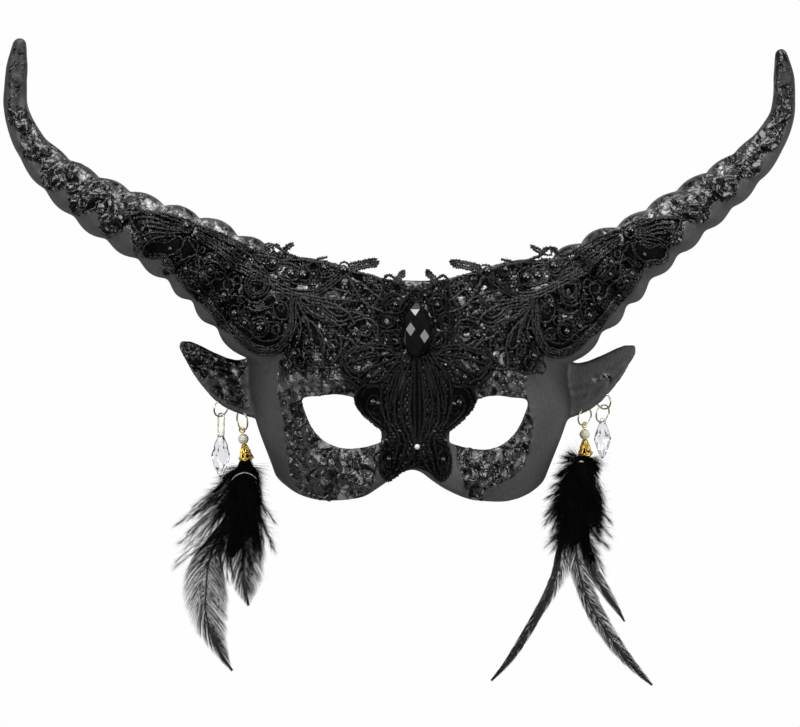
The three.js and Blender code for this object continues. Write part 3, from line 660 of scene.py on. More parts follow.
link(
    grain,
    (given.outputs["Stretch"], stretch.inputs["X"]),
    (given.outputs["Stretch"], stretch.inputs["Z"]),
    (place.outputs["Object"], stretched.inputs[0]),
    (stretch.outputs[0], stretched.inputs[1]),
    (stretched.outputs[0], fine.inputs["Vector"]),
    (given.outputs["Size"], fine.inputs["Scale"]),
    (given.outputs["Detail"], fine.inputs["Detail"]),
    (place.outputs["Object"], broad.inputs["Vector"]),
    (given.outputs["Size"], broad_size.inputs[0]),
    (broad_size.outputs[0], broad.inputs["Scale"]),
    (fine.outputs["Fac"], result.inputs["Value"]),
    (broad.outputs["Fac"], result.inputs["Patches"]),
)

crackle = bpy.data.node_groups.new("crackle", "ShaderNodeTree")
socket(crackle, "Size", "NodeSocketFloat", True).default_value = 380.0
for name in ("Shade", "Seam", "Height"):
    socket(crackle, name, "NodeSocketFloat", False)
given, result = crackle.nodes.new("NodeGroupInput"), crackle.nodes.new("NodeGroupOutput")
place = crackle.nodes.new("ShaderNodeTexCoord")
ripple = crackle.nodes.new("ShaderNodeTexNoise")
ripple.inputs["Detail"].default_value = 1
centred, bent, offset, lean, tilt = (crackle.nodes.new("ShaderNodeVectorMath") for _ in range(5))
centred.operation, centred.inputs[1].default_value = "SUBTRACT", (0.5, 0.5, 0.5)
bent.operation, bent.inputs[1].default_value = "MULTIPLY_ADD", (0.006, 0.006, 0.006)
offset.operation = "SUBTRACT"
lean.operation, lean.inputs[1].default_value = "SUBTRACT", (0.5, 0.5, 0.5)
tilt.operation = "DOT_PRODUCT"
flakes, seams = crackle.nodes.new("ShaderNodeTexVoronoi"), crackle.nodes.new("ShaderNodeTexVoronoi")
flakes.feature = "SMOOTH_F1"
flakes.inputs["Smoothness"].default_value = 0.3
seams.feature = "DISTANCE_TO_EDGE"
split = crackle.nodes.new("ShaderNodeSeparateColor")
gap = crackle.nodes.new("ShaderNodeMapRange")
gap.inputs["From Max"].default_value = 0.22
groove = crackle.nodes.new("ShaderNodeMath")
groove.operation = "MULTIPLY_ADD"
groove.inputs[1].default_value = 0.0001
link(
    crackle,
    (place.outputs["Object"], ripple.inputs["Vector"]),
    (given.outputs["Size"], ripple.inputs["Scale"]),
    (ripple.outputs["Color"], centred.inputs[0]),
    (centred.outputs[0], bent.inputs[0]),
    (place.outputs["Object"], bent.inputs[2]),
    (bent.outputs[0], flakes.inputs["Vector"]),
    (bent.outputs[0], seams.inputs["Vector"]),
    (given.outputs["Size"], flakes.inputs["Scale"]),
    (given.outputs["Size"], seams.inputs["Scale"]),
    (flakes.outputs["Color"], split.inputs[0]),
    (flakes.outputs["Color"], lean.inputs[0]),
    (bent.outputs[0], offset.inputs[0]),
    (flakes.outputs["Position"], offset.inputs[1]),
    (offset.outputs[0], tilt.inputs[0]),
    (lean.outputs[0], tilt.inputs[1]),
    (seams.outputs["Distance"], gap.inputs["Value"]),
    (gap.outputs[0], groove.inputs[0]),
    (tilt.outputs["Value"], groove.inputs[2]),
    (split.outputs[0], result.inputs["Shade"]),
    (gap.outputs[0], result.inputs["Seam"]),
    (groove.outputs[0], result.inputs["Height"]),
)


def new_material(name, roughness=0.5, metallic=0.0):
    material = bpy.data.materials.new(name)
    material.use_nodes = True
    shader = material.node_tree.nodes["Principled BSDF"]
    shader.inputs["Roughness"].default_value = roughness
    shader.inputs["Metallic"].default_value = metallic
    return material, material.node_tree, shader


def grain_of(tree, size, stretch=1.0, detail=6.0):
    node = tree.nodes.new("ShaderNodeGroup")
    node.node_tree = grain
    node.inputs["Size"].default_value = size
    node.inputs["Stretch"].default_value = stretch
    node.inputs["Detail"].default_value = detail
    return node


def blend_of(tree, low, high, start=0.0, end=1.0):
    """A colour ramp between two greys or colours."""
    ramp = tree.nodes.new("ShaderNodeValToRGB")
    for stop, position, colour in zip(ramp.color_ramp.elements, (start, end), (low, high)):
        stop.position = position
        stop.color = (*((colour,) * 3 if isinstance(colour, float) else colour), 1)
    return ramp


def mixed(tree, kind, factor, a, b):
    """Mix of two sockets or plain numbers by a factor socket."""
    mix = tree.nodes.new("ShaderNodeMix")
    mix.data_type = kind
    ends = {"FLOAT": (2, 3, 0), "RGBA": (6, 7, 2)}[kind]
    for value, at in ((factor, 0), (a, ends[0]), (b, ends[1])):
        if isinstance(value, (int, float)):
            mix.inputs[at].default_value = (value, value, value, 1) if kind == "RGBA" and at else value
        else:
            tree.links.new(value, mix.inputs[at])
    return mix.outputs[ends[2]]


def mottled(name, size, tones, over=(0.3, 0.7), roughs=None, by="Patches", finish=(0.5, 0.0), **texture):
    """A material of two tones, laid out by one output of the grain, with its gloss laid out by the other."""
    material, tree, shader = new_material(name, *finish)
    marks = grain_of(tree, size, **texture)
    tone = blend_of(tree, *tones, *over)
    link(tree, (marks.outputs[by], tone.inputs["Fac"]), (tone.outputs["Color"], shader.inputs["Base Color"]))
    if roughs:
        gloss = blend_of(tree, *roughs, 0.3, 0.7)
        link(
            tree,
            (marks.outputs["Value" if by == "Patches" else "Patches"], gloss.inputs["Fac"]),
            (gloss.outputs["Color"], shader.inputs["Roughness"]),
        )
    return material, shader, marks


def crackle_of(tree, size):
    node = tree.nodes.new("ShaderNodeGroup")
    node.node_tree = crackle
    node.inputs["Size"].default_value = size
    return node


paint, tree, shader = new_material("black_paint")
shader.inputs["Specular IOR Level"].default_value = 0.6
where = tree.nodes.new("ShaderNodeAttribute")
where.attribute_name = "crinkle"
streaks = grain_of(tree, 420, stretch=2.2)
specks = grain_of(tree, 1500, detail=8)
flakes = crackle_of(tree, 250)
ragged = tree.nodes.new("ShaderNodeMath")
ragged.operation = "MULTIPLY_ADD"
ragged.inputs[1].default_value = 0.9
edge = tree.nodes.new("ShaderNodeMath")
edge.operation = "ADD"
edge.inputs[1].default_value = -0.45
sharp = blend_of(tree, 0.0, 1.0, 0.38, 0.5)
link(
    tree,
    (specks.outputs["Patches"], ragged.inputs[0]),
    (where.outputs["Fac"], ragged.inputs[2]),
    (ragged.outputs[0], edge.inputs[0]),
    (edge.outputs[0], sharp.inputs["Fac"]),
)
plain = blend_of(tree, 0.012, 0.064, 0.12, 0.84)
shade = tree.nodes.new("ShaderNodeMath")
shade.operation = "MULTIPLY_ADD"
shade.inputs[1].default_value = 0.42
shade.inputs[2].default_value = -0.08
tree.links.new(flakes.outputs["Shade"], shade.inputs[0])
# Painted highlight: flakes go from black to pale grey with the painted light and by chance.
painted_glint_greys = blend_of(tree, 0.001, 0.42, 0.42, 1.0)
painted_glint_greys.color_ramp.elements.new(0.58).color = (0.008, 0.008, 0.008, 1)
painted_glint_greys.color_ramp.elements.new(0.7).color = (0.09, 0.09, 0.09, 1)
# The body's attribute of painted highlight and painted shade.
painted_light = tree.nodes.new("ShaderNodeAttribute")
painted_light.attribute_name = "painted_light_amount"
patchy, fainter = tree.nodes.new("ShaderNodeMath"), tree.nodes.new("ShaderNodeMath")
patchy.operation = fainter.operation = "MULTIPLY_ADD"
patchy.inputs[1].default_value = 0.3
fainter.inputs[1].default_value = 0.5
# Painted shade: below 0 the painted light darkens the plain paint.
below, darker = tree.nodes.new("ShaderNodeMath"), tree.nodes.new("ShaderNodeMath")
below.operation, darker.operation = "MINIMUM", "MULTIPLY_ADD"
below.inputs[1].default_value = 0
darker.inputs[1].default_value = 0.7
link(
    tree,
    (painted_light.outputs["Fac"], below.inputs[0]),
    (below.outputs[0], darker.inputs[0]),
    (streaks.outputs["Value"], darker.inputs[2]),
    (darker.outputs[0], plain.inputs["Fac"]),
    (painted_light.outputs["Fac"], fainter.inputs[0]),
    (shade.outputs[0], fainter.inputs[2]),
    (streaks.outputs["Patches"], patchy.inputs[0]),
    (fainter.outputs[0], patchy.inputs[2]),
    (patchy.outputs[0], painted_glint_greys.inputs["Fac"]),
)
glossy = mixed(tree, "RGBA", flakes.outputs["Seam"], 0.0, painted_glint_greys.outputs["Color"])
colour = mixed(tree, "RGBA", sharp.outputs["Color"], plain.outputs["Color"], glossy)
plain_rough = blend_of(tree, 0.48, 0.62, 0.3, 0.7)
glossy_rough = blend_of(tree, 0.18, 0.36, 0.3, 0.7)
link(
    tree,
    (specks.outputs["Value"], plain_rough.inputs["Fac"]),
    (specks.outputs["Value"], glossy_rough.inputs["Fac"]),
)
roughs = plain_rough.outputs["Color"], glossy_rough.outputs["Color"]
rough = mixed(tree, "FLOAT", sharp.outputs["Color"], *roughs)
brushed = tree.nodes.new("ShaderNodeMath")
brushed.operation = "MULTIPLY"
brushed.inputs[1].default_value = 0.32 * MM
raised = tree.nodes.new("ShaderNodeBump")
raised.inputs["Strength"].default_value = 0.25
raised.inputs["Distance"].default_value = 1.0
height = mixed(tree, "FLOAT", sharp.outputs["Color"], brushed.outputs[0], flakes.outputs["Height"])
link(
    tree,
    (colour, shader.inputs["Base Color"]),
    (rough, shader.inputs["Roughness"]),
    (streaks.outputs["Value"], brushed.inputs[0]),
    (height, raised.inputs["Height"]),
    (raised.outputs["Normal"], shader.inputs["Normal"]),
)
body.data.materials.clear()
body.data.materials.append(paint)
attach(body, "root")
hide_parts("mask_body")


# Lace
# Three motifs of black corded lace, starched and glued down: a butterfly over brow and nose, and a spray
# up each horn. Twisted cords are sewn over a fine net, with satin leaves, small rings and glass beads.

CORD_PITCH = 2.6
NET_CELL = 1.05
PANEL_LIFT = 0.45
CORD_LIFT = 1.15
CORD_RADIUS = 0.8
HEIGHT_GRID = 0.5
LACE_LOW, LACE_HIGH = np.array((-138.0, -62.0)), np.array((138.0, 78.0))


def skin_below(x, y):
    """The spot of the uncut shell under a point seen from the front, or None beside it."""
    return uncut_skin.ray_cast(Vector(((x + FACE_MIDDLE) * MM, y * MM, 0.2)), Vector((0, 0, -1)))[0]


def smooth_heights():
    """Heights of the face and horns on a grid, carried over hollows and a little past every edge."""
    columns, rows = ((LACE_HIGH - LACE_LOW) / HEIGHT_GRID).astype(int) + 1
    heights = np.full((rows, columns), -60.0)
    for row in range(rows):
        for column in range(columns):
            hit = skin_below(LACE_LOW[0] + column * HEIGHT_GRID, LACE_LOW[1] + row * HEIGHT_GRID)
            if hit:
                heights[row, column] = hit.z / MM
    for axis in (0, 1):
        spread = heights.copy()
        for step in range(1, 19):
            drop = 0.22 * (step * HEIGHT_GRID) ** 2
            for way in (-1, 1):
                moved = np.roll(heights, way * step, axis) - drop
                spread = np.maximum(spread, moved)
        heights = spread
    for _ in range(2):
        for axis in (0, 1):
            heights = (np.roll(heights, 1, axis) + 2 * heights + np.roll(heights, -1, axis)) / 4
    return heights


lace_heights = smooth_heights()
slope_y, slope_x = np.gradient(lace_heights, HEIGHT_GRID)


def read_grid(grid, flat):
    """Values of a grid at points seen from the front."""
    place = np.clip((flat - LACE_LOW) / HEIGHT_GRID, 0, np.array(grid.shape[::-1]) - 1.001)
    column, row = place.astype(int).T
    fx, fy = (place - place.astype(int)).T
    low = grid[row, column] * (1 - fx) + grid[row, column + 1] * fx
    high = grid[row + 1, column] * (1 - fx) + grid[row + 1, column + 1] * fx
    return low * (1 - fy) + high * fy


def on_the_face(flat, lift):
    """Points lifted off the surface, and the surface's directions there."""
    flat = np.asarray(flat, dtype=float)
    normal = np.column_stack([-read_grid(slope_x, flat), -read_grid(slope_y, flat), np.ones(len(flat))])
    normal /= np.linalg.norm(normal, axis=1, keepdims=True)
    points = np.column_stack([flat, read_grid(lace_heights, flat)])
    return points + normal * lift, normal


def tube(line, up, radius, sides=6, twist=0.0, lobes=0.0, closed=False):
    """A round or lobed rod along a line: points and triangles. Open ends are drawn in and closed."""
    line = np.asarray(line, dtype=float)
    count = len(line)
    if closed:
        forward = np.roll(line, -1, axis=0) - np.roll(line, 1, axis=0)
    else:
        forward = np.gradient(line, axis=0)
    forward /= np.linalg.norm(forward, axis=1, keepdims=True)
    across = np.cross(forward, up)
    across /= np.linalg.norm(across, axis=1, keepdims=True)
    above = np.cross(across, forward)
    gone = np.concatenate([[0], np.cumsum(np.linalg.norm(np.diff(line, axis=0), axis=1))])
    corner = np.arange(sides)
    angle = 2 * math.pi * (corner / sides + gone[:, None] * twist)
    reach = np.asarray(radius) * np.ones(count)
    # Loops of thread stand out along a lobed cord like a row of small knots.
    knots = np.where(np.arange(count) % 2, -1, 1) * (1.1 + 0.7 * np.sin(gone * 1.7))
    reach = reach[:, None] * (1 + lobes * (0.8 * np.where(corner % 2, -1, 1) + knots[:, None]))
    if not closed:
        reach[[0, -1]] *= 0.45
    rings = line[:, None] + reach[..., None] * (
        np.cos(angle)[..., None] * across[:, None] + np.sin(angle)[..., None] * above[:, None]
    )
    points = rings.reshape(-1, 3)
    spans = np.arange(count if closed else count - 1)[:, None] * sides
    following = (corner + 1) % sides
    a, b = spans + corner, spans + following
    c, d = (b + sides) % (count * sides), (a + sides) % (count * sides)
    halves = np.stack([a, b, c], -1), np.stack([a, c, d], -1)
    triangles = np.concatenate([half.reshape(-1, 3) for half in halves])
    if not closed:
        first, last = corner[1:-1], corner[1:-1] + (count - 1) * sides
        start = np.column_stack([np.zeros(sides - 2, int), first + 1, first])
        end = np.column_stack([np.full(sides - 2, (count - 1) * sides), last, last + 1])
        triangles = np.concatenate([triangles, start, end])
    return points, triangles


def gathered(parts):
    """Many small meshes as one: points and triangles."""
    counts = np.cumsum([0] + [len(points) for points, _ in parts])
    return (
        np.vstack([points for points, _ in parts]),
        np.vstack([triangles + start for (_, triangles), start in zip(parts, counts)]),
    )


def ball(middle, radius, around=12, levels=8, squash=1.0):
    """A closed globe with its poles up and down."""
    height = np.cos(np.linspace(0.12, math.pi - 0.12, levels + 1))[:, None]
    angle = 2 * math.pi * np.arange(around) / around
    ring = np.sqrt(1 - height**2)
    globe = np.stack([ring * np.cos(angle), ring * np.sin(angle), height * squash + 0 * angle], axis=-1)
    return loft(globe * radius + np.asarray(middle))


def closed_line(nodes, spacing):
    """A smooth loop through the nodes, without repeating its first point."""
    nodes = [nodes[-1], *nodes, nodes[0], nodes[1]]
    line, place, _ = flowing_line(nodes, spacing)
    return line[(place >= 1) & (place < len(nodes) - 2)]


def beside(line, offset):
    """The line moved sideways by so much."""
    forward = np.gradient(line, axis=0)
    forward /= np.linalg.norm(forward, axis=1, keepdims=True)
    return line + offset * np.column_stack([-forward[:, 1], forward[:, 0]])


def hatch(outline, spacing, direction):
    """Parallel stitches that fill an outline."""
    c, s = math.cos(direction), math.sin(direction)
    turned = np.asarray(outline, dtype=float) @ np.array([[c, -s], [s, c]])
    lines = []
    for v in np.arange(turned[:, 1].min() + spacing / 2, turned[:, 1].max(), spacing):
        a, b = turned, np.roll(turned, -1, axis=0)
        hit = (a[:, 1] > v) != (b[:, 1] > v)
        across = a[hit, 0] + (v - a[hit, 1]) * (b[hit, 0] - a[hit, 0]) / (b[hit, 1] - a[hit, 1])
        across = np.sort(across)
        for start, end in zip(across[::2], across[1::2]):
            if end - start > 0.8:
                lines.append(np.array([(start, v), (end, v)]) @ np.array([[c, s], [-s, c]]))
    return lines


def cord(flat, radius=CORD_RADIUS, lift=CORD_LIFT, closed=False, step=0.55):
    """A twisted cord laid along a line on the face."""
    line = closed_line(flat, step) if closed else flowing_line(flat, step)[0]
    wander = np.sin(line[:, ::-1] * 1.9 + line * 0.7) + np.sin(line * 3.1)
    points, normal = on_the_face(line + 0.11 * wander, lift)
    return tube(points, normal, radius, twist=1 / CORD_PITCH, lobes=0.17, closed=closed)


def net(panel, holes, seed):
    """Fine netting of six-sided cells inside a panel."""
    draw = np.random.default_rng(seed)
    low, high = np.min(panel, axis=0), np.max(panel, axis=0)
    wide, tall = NET_CELL * math.sqrt(3), NET_CELL * 1.5
    corners, ends = {}, []
    for row in range(int((high[1] - low[1]) / tall) + 2):
        for column in range(int((high[0] - low[0]) / wide) + 2):
            middle = low + ((column + 0.5 * (row % 2)) * wide, row * tall)
            keys = []
            for k in range(6):
                at = middle + NET_CELL * np.array((math.sin(k * math.pi / 3), math.cos(k * math.pi / 3)))
                key = (round(at[0] / wide * 2), round(at[1] / NET_CELL * 2))
                corners.setdefault(key, at)
                keys.append(key)
            ends += [(keys[0], keys[1]), (keys[1], keys[2]), (keys[2], keys[3])]
    names = list(corners)
    number = {key: i for i, key in enumerate(names)}
    spots = np.array([corners[key] for key in names]) + draw.normal(0, 0.2, (len(names), 2))
    backed = np.array([skin_below(x, y) is not None for x, y in spots])
    keep = (depth_inside(spots, panel) > 0) & backed
    for hole in holes:
        keep &= depth_inside(spots, hole) < 0
    edges = np.array(sorted({tuple(sorted((number[a], number[b]))) for a, b in ends}))
    edges = edges[keep[edges].all(axis=1)]
    above = PANEL_LIFT + draw.uniform(-0.12, 0.12, len(spots))
    points, normal = on_the_face(spots, above[:, None])
    a, b = points[edges[:, 0]], points[edges[:, 1]]
    up = normal[edges[:, 0]]
    across = np.cross(b - a, up)
    across /= np.linalg.norm(across, axis=1, keepdims=True)
    thick = draw.uniform(0.2, 0.33, (len(a), 1))
    square = np.stack([across * thick, up * thick, -across * thick, -up * thick], axis=1)
    rods = np.concatenate([a[:, None] + square, b[:, None] + square], axis=1)
    sides = []
    for k in range(4):
        following = (k + 1) % 4
        sides += [(k, following, following + 4), (k, following + 4, k + 4)]
    sides += [(0, 2, 1), (0, 3, 2), (4, 5, 6), (4, 6, 7)]
    triangles = (np.arange(len(a)) * 8)[:, None, None] + np.array(sides)
    return rods.reshape(-1, 3), triangles.reshape(-1, 3)


GROUND = (0.0004, 0.003)
dull, shader, _ = mottled(
    "lace_ground", 1800, GROUND, (0.35, 0.7), (0.45, 0.7), "Value", finish=(0.6, 0.0), detail=4
)
shader.inputs["Specular IOR Level"].default_value = 0.05


def yarn_of(name, sheen, blacks, roughs):
    """Black thread with its fibres raised, of a given sheen."""
    yarn, shader, fibres = mottled(name, 2600, blacks, (0.35, 0.7), roughs, "Value", detail=4)
    shader.inputs["Specular IOR Level"].default_value = sheen
    fuzz = yarn.node_tree.nodes.new("ShaderNodeBump")
    fuzz.inputs["Strength"].default_value = 0.5
    fuzz.inputs["Distance"].default_value = 0.15 * MM
    link(
        yarn.node_tree,
        (fibres.outputs["Value"], fuzz.inputs["Height"]),
        (fuzz.outputs["Normal"], shader.inputs["Normal"]),
    )
    return yarn


thread = yarn_of("lace_thread", 0.5, (0.0006, 0.0055), (0.22, 0.45))
# The butterfly's thread is a copy of the same black thread, painted darker with less sheen: painted shade.
shaded_thread = yarn_of("lace_thread_painted_darker", 0.22, (0.0003, 0.003), (0.3, 0.5))
jet, shader, _ = mottled("black_glass_beads", 500, (0.002, 0.01), finish=(0.14, 0.0))
shader.inputs["IOR"].default_value = 1.6


def lace_piece(node, yarn, panel, holes, cords, thin_cords, rings, satin, beads, seed):
    """One motif in its place, from its cut outline, its cords, its filled leaves and its beads."""
    draw = np.random.default_rng(seed)
    dark = [net(panel, holes, seed)]
    parts = [cord(panel, 0.8, closed=True)]
    parts += [cord(hole, 0.65, closed=True) for hole in holes]
    parts += [cord(line, CORD_RADIUS, CORD_LIFT + draw.uniform(0, 0.4)) for line in cords]
    parts += [cord(line, 0.5, PANEL_LIFT + 0.45) for line in thin_cords]
    turn = 2 * math.pi * np.arange(9) / 9
    for x, y, radius in rings:
        stretch = draw.uniform(0.85, 1.15)
        loop = np.column_stack([x + radius * stretch * np.cos(turn), y + radius / stretch * np.sin(turn)])
        thick = min(0.68, 0.3 + 0.2 * radius)
        parts.append(cord(loop, thick, CORD_LIFT + draw.uniform(-0.1, 0.5), closed=True, step=0.7))
    for leaf, direction in satin:
        for stitch in hatch(leaf, 0.55, direction):
            lift = PANEL_LIFT + 0.45 + draw.uniform(0, 0.1)
            points, normal = on_the_face(flowing_line(stitch, 1.4)[0], lift)
            dark.append(tube(points, normal, 0.5, sides=5))
        parts.append(cord(leaf, 0.6, CORD_LIFT, closed=True))
    glass = []
    for x, y, radius in beads:
        middle, _ = on_the_face([(x, y)], CORD_LIFT + radius * 0.7)
        glass.append(ball(middle[0], radius, around=9, levels=6))
    layers = [gathered(parts), gathered(dark), gathered(glass)]
    points, triangles = gathered(layers)
    lace = new_piece(node + "_stitched", set_in_place(points), triangles, yarn)
    lace.data.materials.append(dull)
    lace.data.materials.append(jet)
    kind = np.repeat([0, 1, 2], [len(layer[1]) for layer in layers])
    lace.data.polygons.foreach_set("material_index", kind.astype(np.int32))
    lace.data.polygons.foreach_set("use_smooth", kind < 2)
    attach(lace, "root")
    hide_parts(node)
    return lace


BUTTERFLY_HALF = [
    (0, 34), (5.5, 34.4), (12, 40.2), (14.8, 38), (14.8, 33), (18.5, 24), (18, 14.5), (15.7, 9.9),
    (27.7, 5.7), (32.4, 1), (33.3, -4), (25.6, -10.4), (26.8, -14.4), (25.4, -18.8), (16.4, -27.4),
    (12.6, -31.4), (15.7, -43), (14.8, -48.5), (11.8, -51.4), (5.6, -47), (0, -45.2),
]
BUTTERFLY_OPENINGS = [
    [(7.4, 24.6), (9.4, 28.8), (12, 25.6)],
    [(10.6, 19), (12.6, 22.4), (15.2, 19), (13, 15.8)],
    [(16.7, 4.3), (23, 3.8), (28.6, -0.4), (28.2, -4), (18.4, 0.6)],
    [(15.4, 0.6), (20.4, -3.2), (24, -7.4), (16.2, -2.6)],
    [(4.4, -0.4), (6.6, -0.4), (12, -20.6), (5.2, -6.8)],
]
BUTTERFLY_CORDS = [
    [(1.4, 3.2), (2.3, -7), (2.9, -18), (2.3, -28), (1.1, -35)],
    [(2.7, 3.6), (5.2, -6.8), (6.4, -17), (5.3, -27), (2.6, -34)],
    [(3.8, 4.2), (7.5, -6), (9.2, -16), (8.4, -26), (4.6, -33.5), (5.6, -41), (8.6, -49)],
    [(5, 5), (10.8, -6.8), (12.6, -15.5), (11.2, -25), (7.2, -32), (8.2, -40), (10.6, -48.6)],
    [(6, 6), (14.2, -6.4), (15.6, -13), (13.6, -23), (9.8, -30)],
    [(0.7, -36), (1.6, -40), (4.8, -46.6)],
    [(8.7, 3.8), (12.3, 7.9), (19.6, 8.5), (26.5, 7.1), (32.7, 4.3), (32.7, -0.1), (28.6, -5.4),
     (24.2, -6.7)],
    [(9.5, 5), (13.2, 6.7), (19.6, 7.1), (26, 5.6), (30.8, 3), (31, -0.2), (27.4, -4.2)],
    [(8.5, 4.3), (16.8, 3.8), (25.1, 2), (31.6, -0.3)],
    [(8.5, 3.4), (14.9, 0.6), (21.4, -2.2), (26, -5.9)],
    [(7.6, 1.6), (12, -2), (15.6, -6.6), (20, -8)],
    [(15.4, -28.2), (20.6, -24), (24.2, -18.8), (24.4, -14.2), (21.6, -10), (16.6, -9.4)],
    [(14.6, -27), (18.8, -22.8), (21.6, -18.2), (21, -14.8), (18.8, -12.4)],
    [(5.6, 28.6), (9, 32), (13, 31.4), (15.4, 26.6), (14.6, 21)],
    [(6.8, 9), (9.6, 14), (14.6, 14.8), (17.6, 12)],
    [(8.4, -34), (13.6, -36.4), (14.2, -42.6), (12.8, -47.8)],
    [(4, 31), (7.3, 25.6), (8.4, 18.6), (7.6, 10.4)],
]
BUTTERFLY_THIN = [
    [(1.8, -10), (6.2, -13), (11, -12)],
    [(2.2, -20), (7, -22), (12, -21)],
    [(15.6, -13), (18.8, -16.4), (17.4, -21), (14.2, -22)],
    [(18.2, -12.6), (21, -16.8), (18.6, -22)],
    [(10, 24), (14, 26.6), (16.6, 23)],
    [(18, 7), (17.4, 3), (20.4, -2)],
    [(24, 6.6), (23.6, 2.4), (25.2, -3)],
]
BUTTERFLY_RINGS = [
    (9.6, 27, 4.4), (9.6, 27, 2.6), (13.2, 19.8, 3.7), (13.2, 19.8, 2.1), (9.4, 11.4, 3.8), (9.4, 11.4, 2.2),
    (15.6, 13.4, 1.6), (19, 10.2, 1.5), (22.4, 9.4, 1.3), (26.4, 8.4, 1.3), (30.4, 6.6, 1.4), (33, 2, 1.3),
    (18.8, -15.4, 2.2), (16.8, -20.4, 1.8),
    (11.4, -36.6, 1.9), (10.8, -43.6, 2.2), (12.6, -48.6, 1.5), (3.4, -41.4, 1.6), (5.6, 33.6, 1.4),
    (29.8, -8, 1.4), (12.4, -27, 1.5), (7.4, -35.6, 1.2), (13, 36.4, 1.6),
]
BUTTERFLY_SATIN = [
    ([(13.6, -29.5), (16.6, -27.2), (21.4, -23.4), (25.3, -18.8), (26.6, -14.4), (25.5, -10.6), (21.4, -8.6),
      (16.8, -9.6), (15.4, -15), (13.8, -22)], 0.9),
    ([(9.4, -40), (12.4, -37.4), (14.4, -43), (13.6, -47.4), (10.4, -48.8), (10.8, -44)], 0.3),
    ([(1.4, -37.8), (3.6, -44.4), (1.6, -45)], 1.2),
    ([(0, 3), (1.3, 3), (2.2, -10), (2.8, -20), (2, -28), (0, -35.6)], 0),
    ([(28.8, -6.2), (31.4, -0.6), (31.6, 3.4), (33.2, 0.6), (33, -3.6)], 0.4),
]
BUTTERFLY_BEADS = [
    (21.4, -4.8, 1.2), (16.4, -16.4, 1.2), (18.8, -15.4, 1.5), (11, -41.6, 1.2), (9.4, 27, 1.2),
    (27, -1.8, 1), (6.8, -29.4, 0.9), (12.2, -33.4, 0.9), (17.6, 10.8, 1), (29.6, 3.4, 0.9),
    (8.2, 19.6, 0.9),
]


def flipped(lines):
    return [[(-x, y, *rest) for x, y, *rest in line] for line in lines]


both_sides = BUTTERFLY_HALF + [(-x, y) for x, y in BUTTERFLY_HALF[-2:0:-1]]
arch = [(-2.8, 31.8), (-2, 33.6), (0, 34.4), (2, 33.6), (2.8, 31.8)]
lace_piece(
    "lace_butterfly",
    # The butterfly takes the copy of the thread painted darker as painted shade.
    shaded_thread,
    both_sides,
    BUTTERFLY_OPENINGS + flipped(BUTTERFLY_OPENINGS),
    BUTTERFLY_CORDS + flipped(BUTTERFLY_CORDS) + [arch],
    BUTTERFLY_THIN + flipped(BUTTERFLY_THIN),
    BUTTERFLY_RINGS + flipped([BUTTERFLY_RINGS])[0]
    + [(0, 30.9, 2.8), (0, 30.9, 1.5), (0, -39.8, 1.3), (0, -43, 1.1)],
    BUTTERFLY_SATIN + [(flipped([leaf])[0], -turn) for leaf, turn in BUTTERFLY_SATIN],
    BUTTERFLY_BEADS + flipped([BUTTERFLY_BEADS])[0],
    21,
)

SPRAY_OUTLINE = [
    (122.4, 59.4), (117.4, 49.8), (110, 48.8), (102.8, 36.4), (90.2, 23.8), (86.4, 17.8), (79.6, 13.2),
    (67, 8), (60, 6.4), (54.6, -2.2), (49.8, -3), (45, -1.6), (34.6, -1.2), (33.4, 1.6), (28.4, 6.5),
    (16.8, 10.6), (18.8, 14.4), (19.4, 24.2), (15.6, 33.2), (15.6, 37.5), (20, 40), (28, 41.5), (33, 43.6),
    (49.4, 47.4), (58.8, 50.4), (64.2, 53.4), (68, 50.2), (77.4, 52.6), (97.6, 62.8), (112.6, 67.8),
    (126.2, 67.8),
]
SPRAY_OPENINGS = [
    [(121.2, 63.4), (111, 63), (105.4, 60.6)],
    [(119, 58.6), (106, 57), (110.6, 54.4)],
    [(97, 59.4), (69.2, 42.2), (68, 40.4), (95.2, 56.6)],
    [(73.6, 37.4), (67.8, 36), (69.4, 31.4), (74.8, 32.4)],
    [(62.4, 45.4), (50, 42), (52, 38.6), (60.4, 38.4)],
    [(47.6, 31.4), (38, 34.2), (23, 28.6)],
    [(51, 26.4), (24.4, 22.2), (40, 19.4)],
]
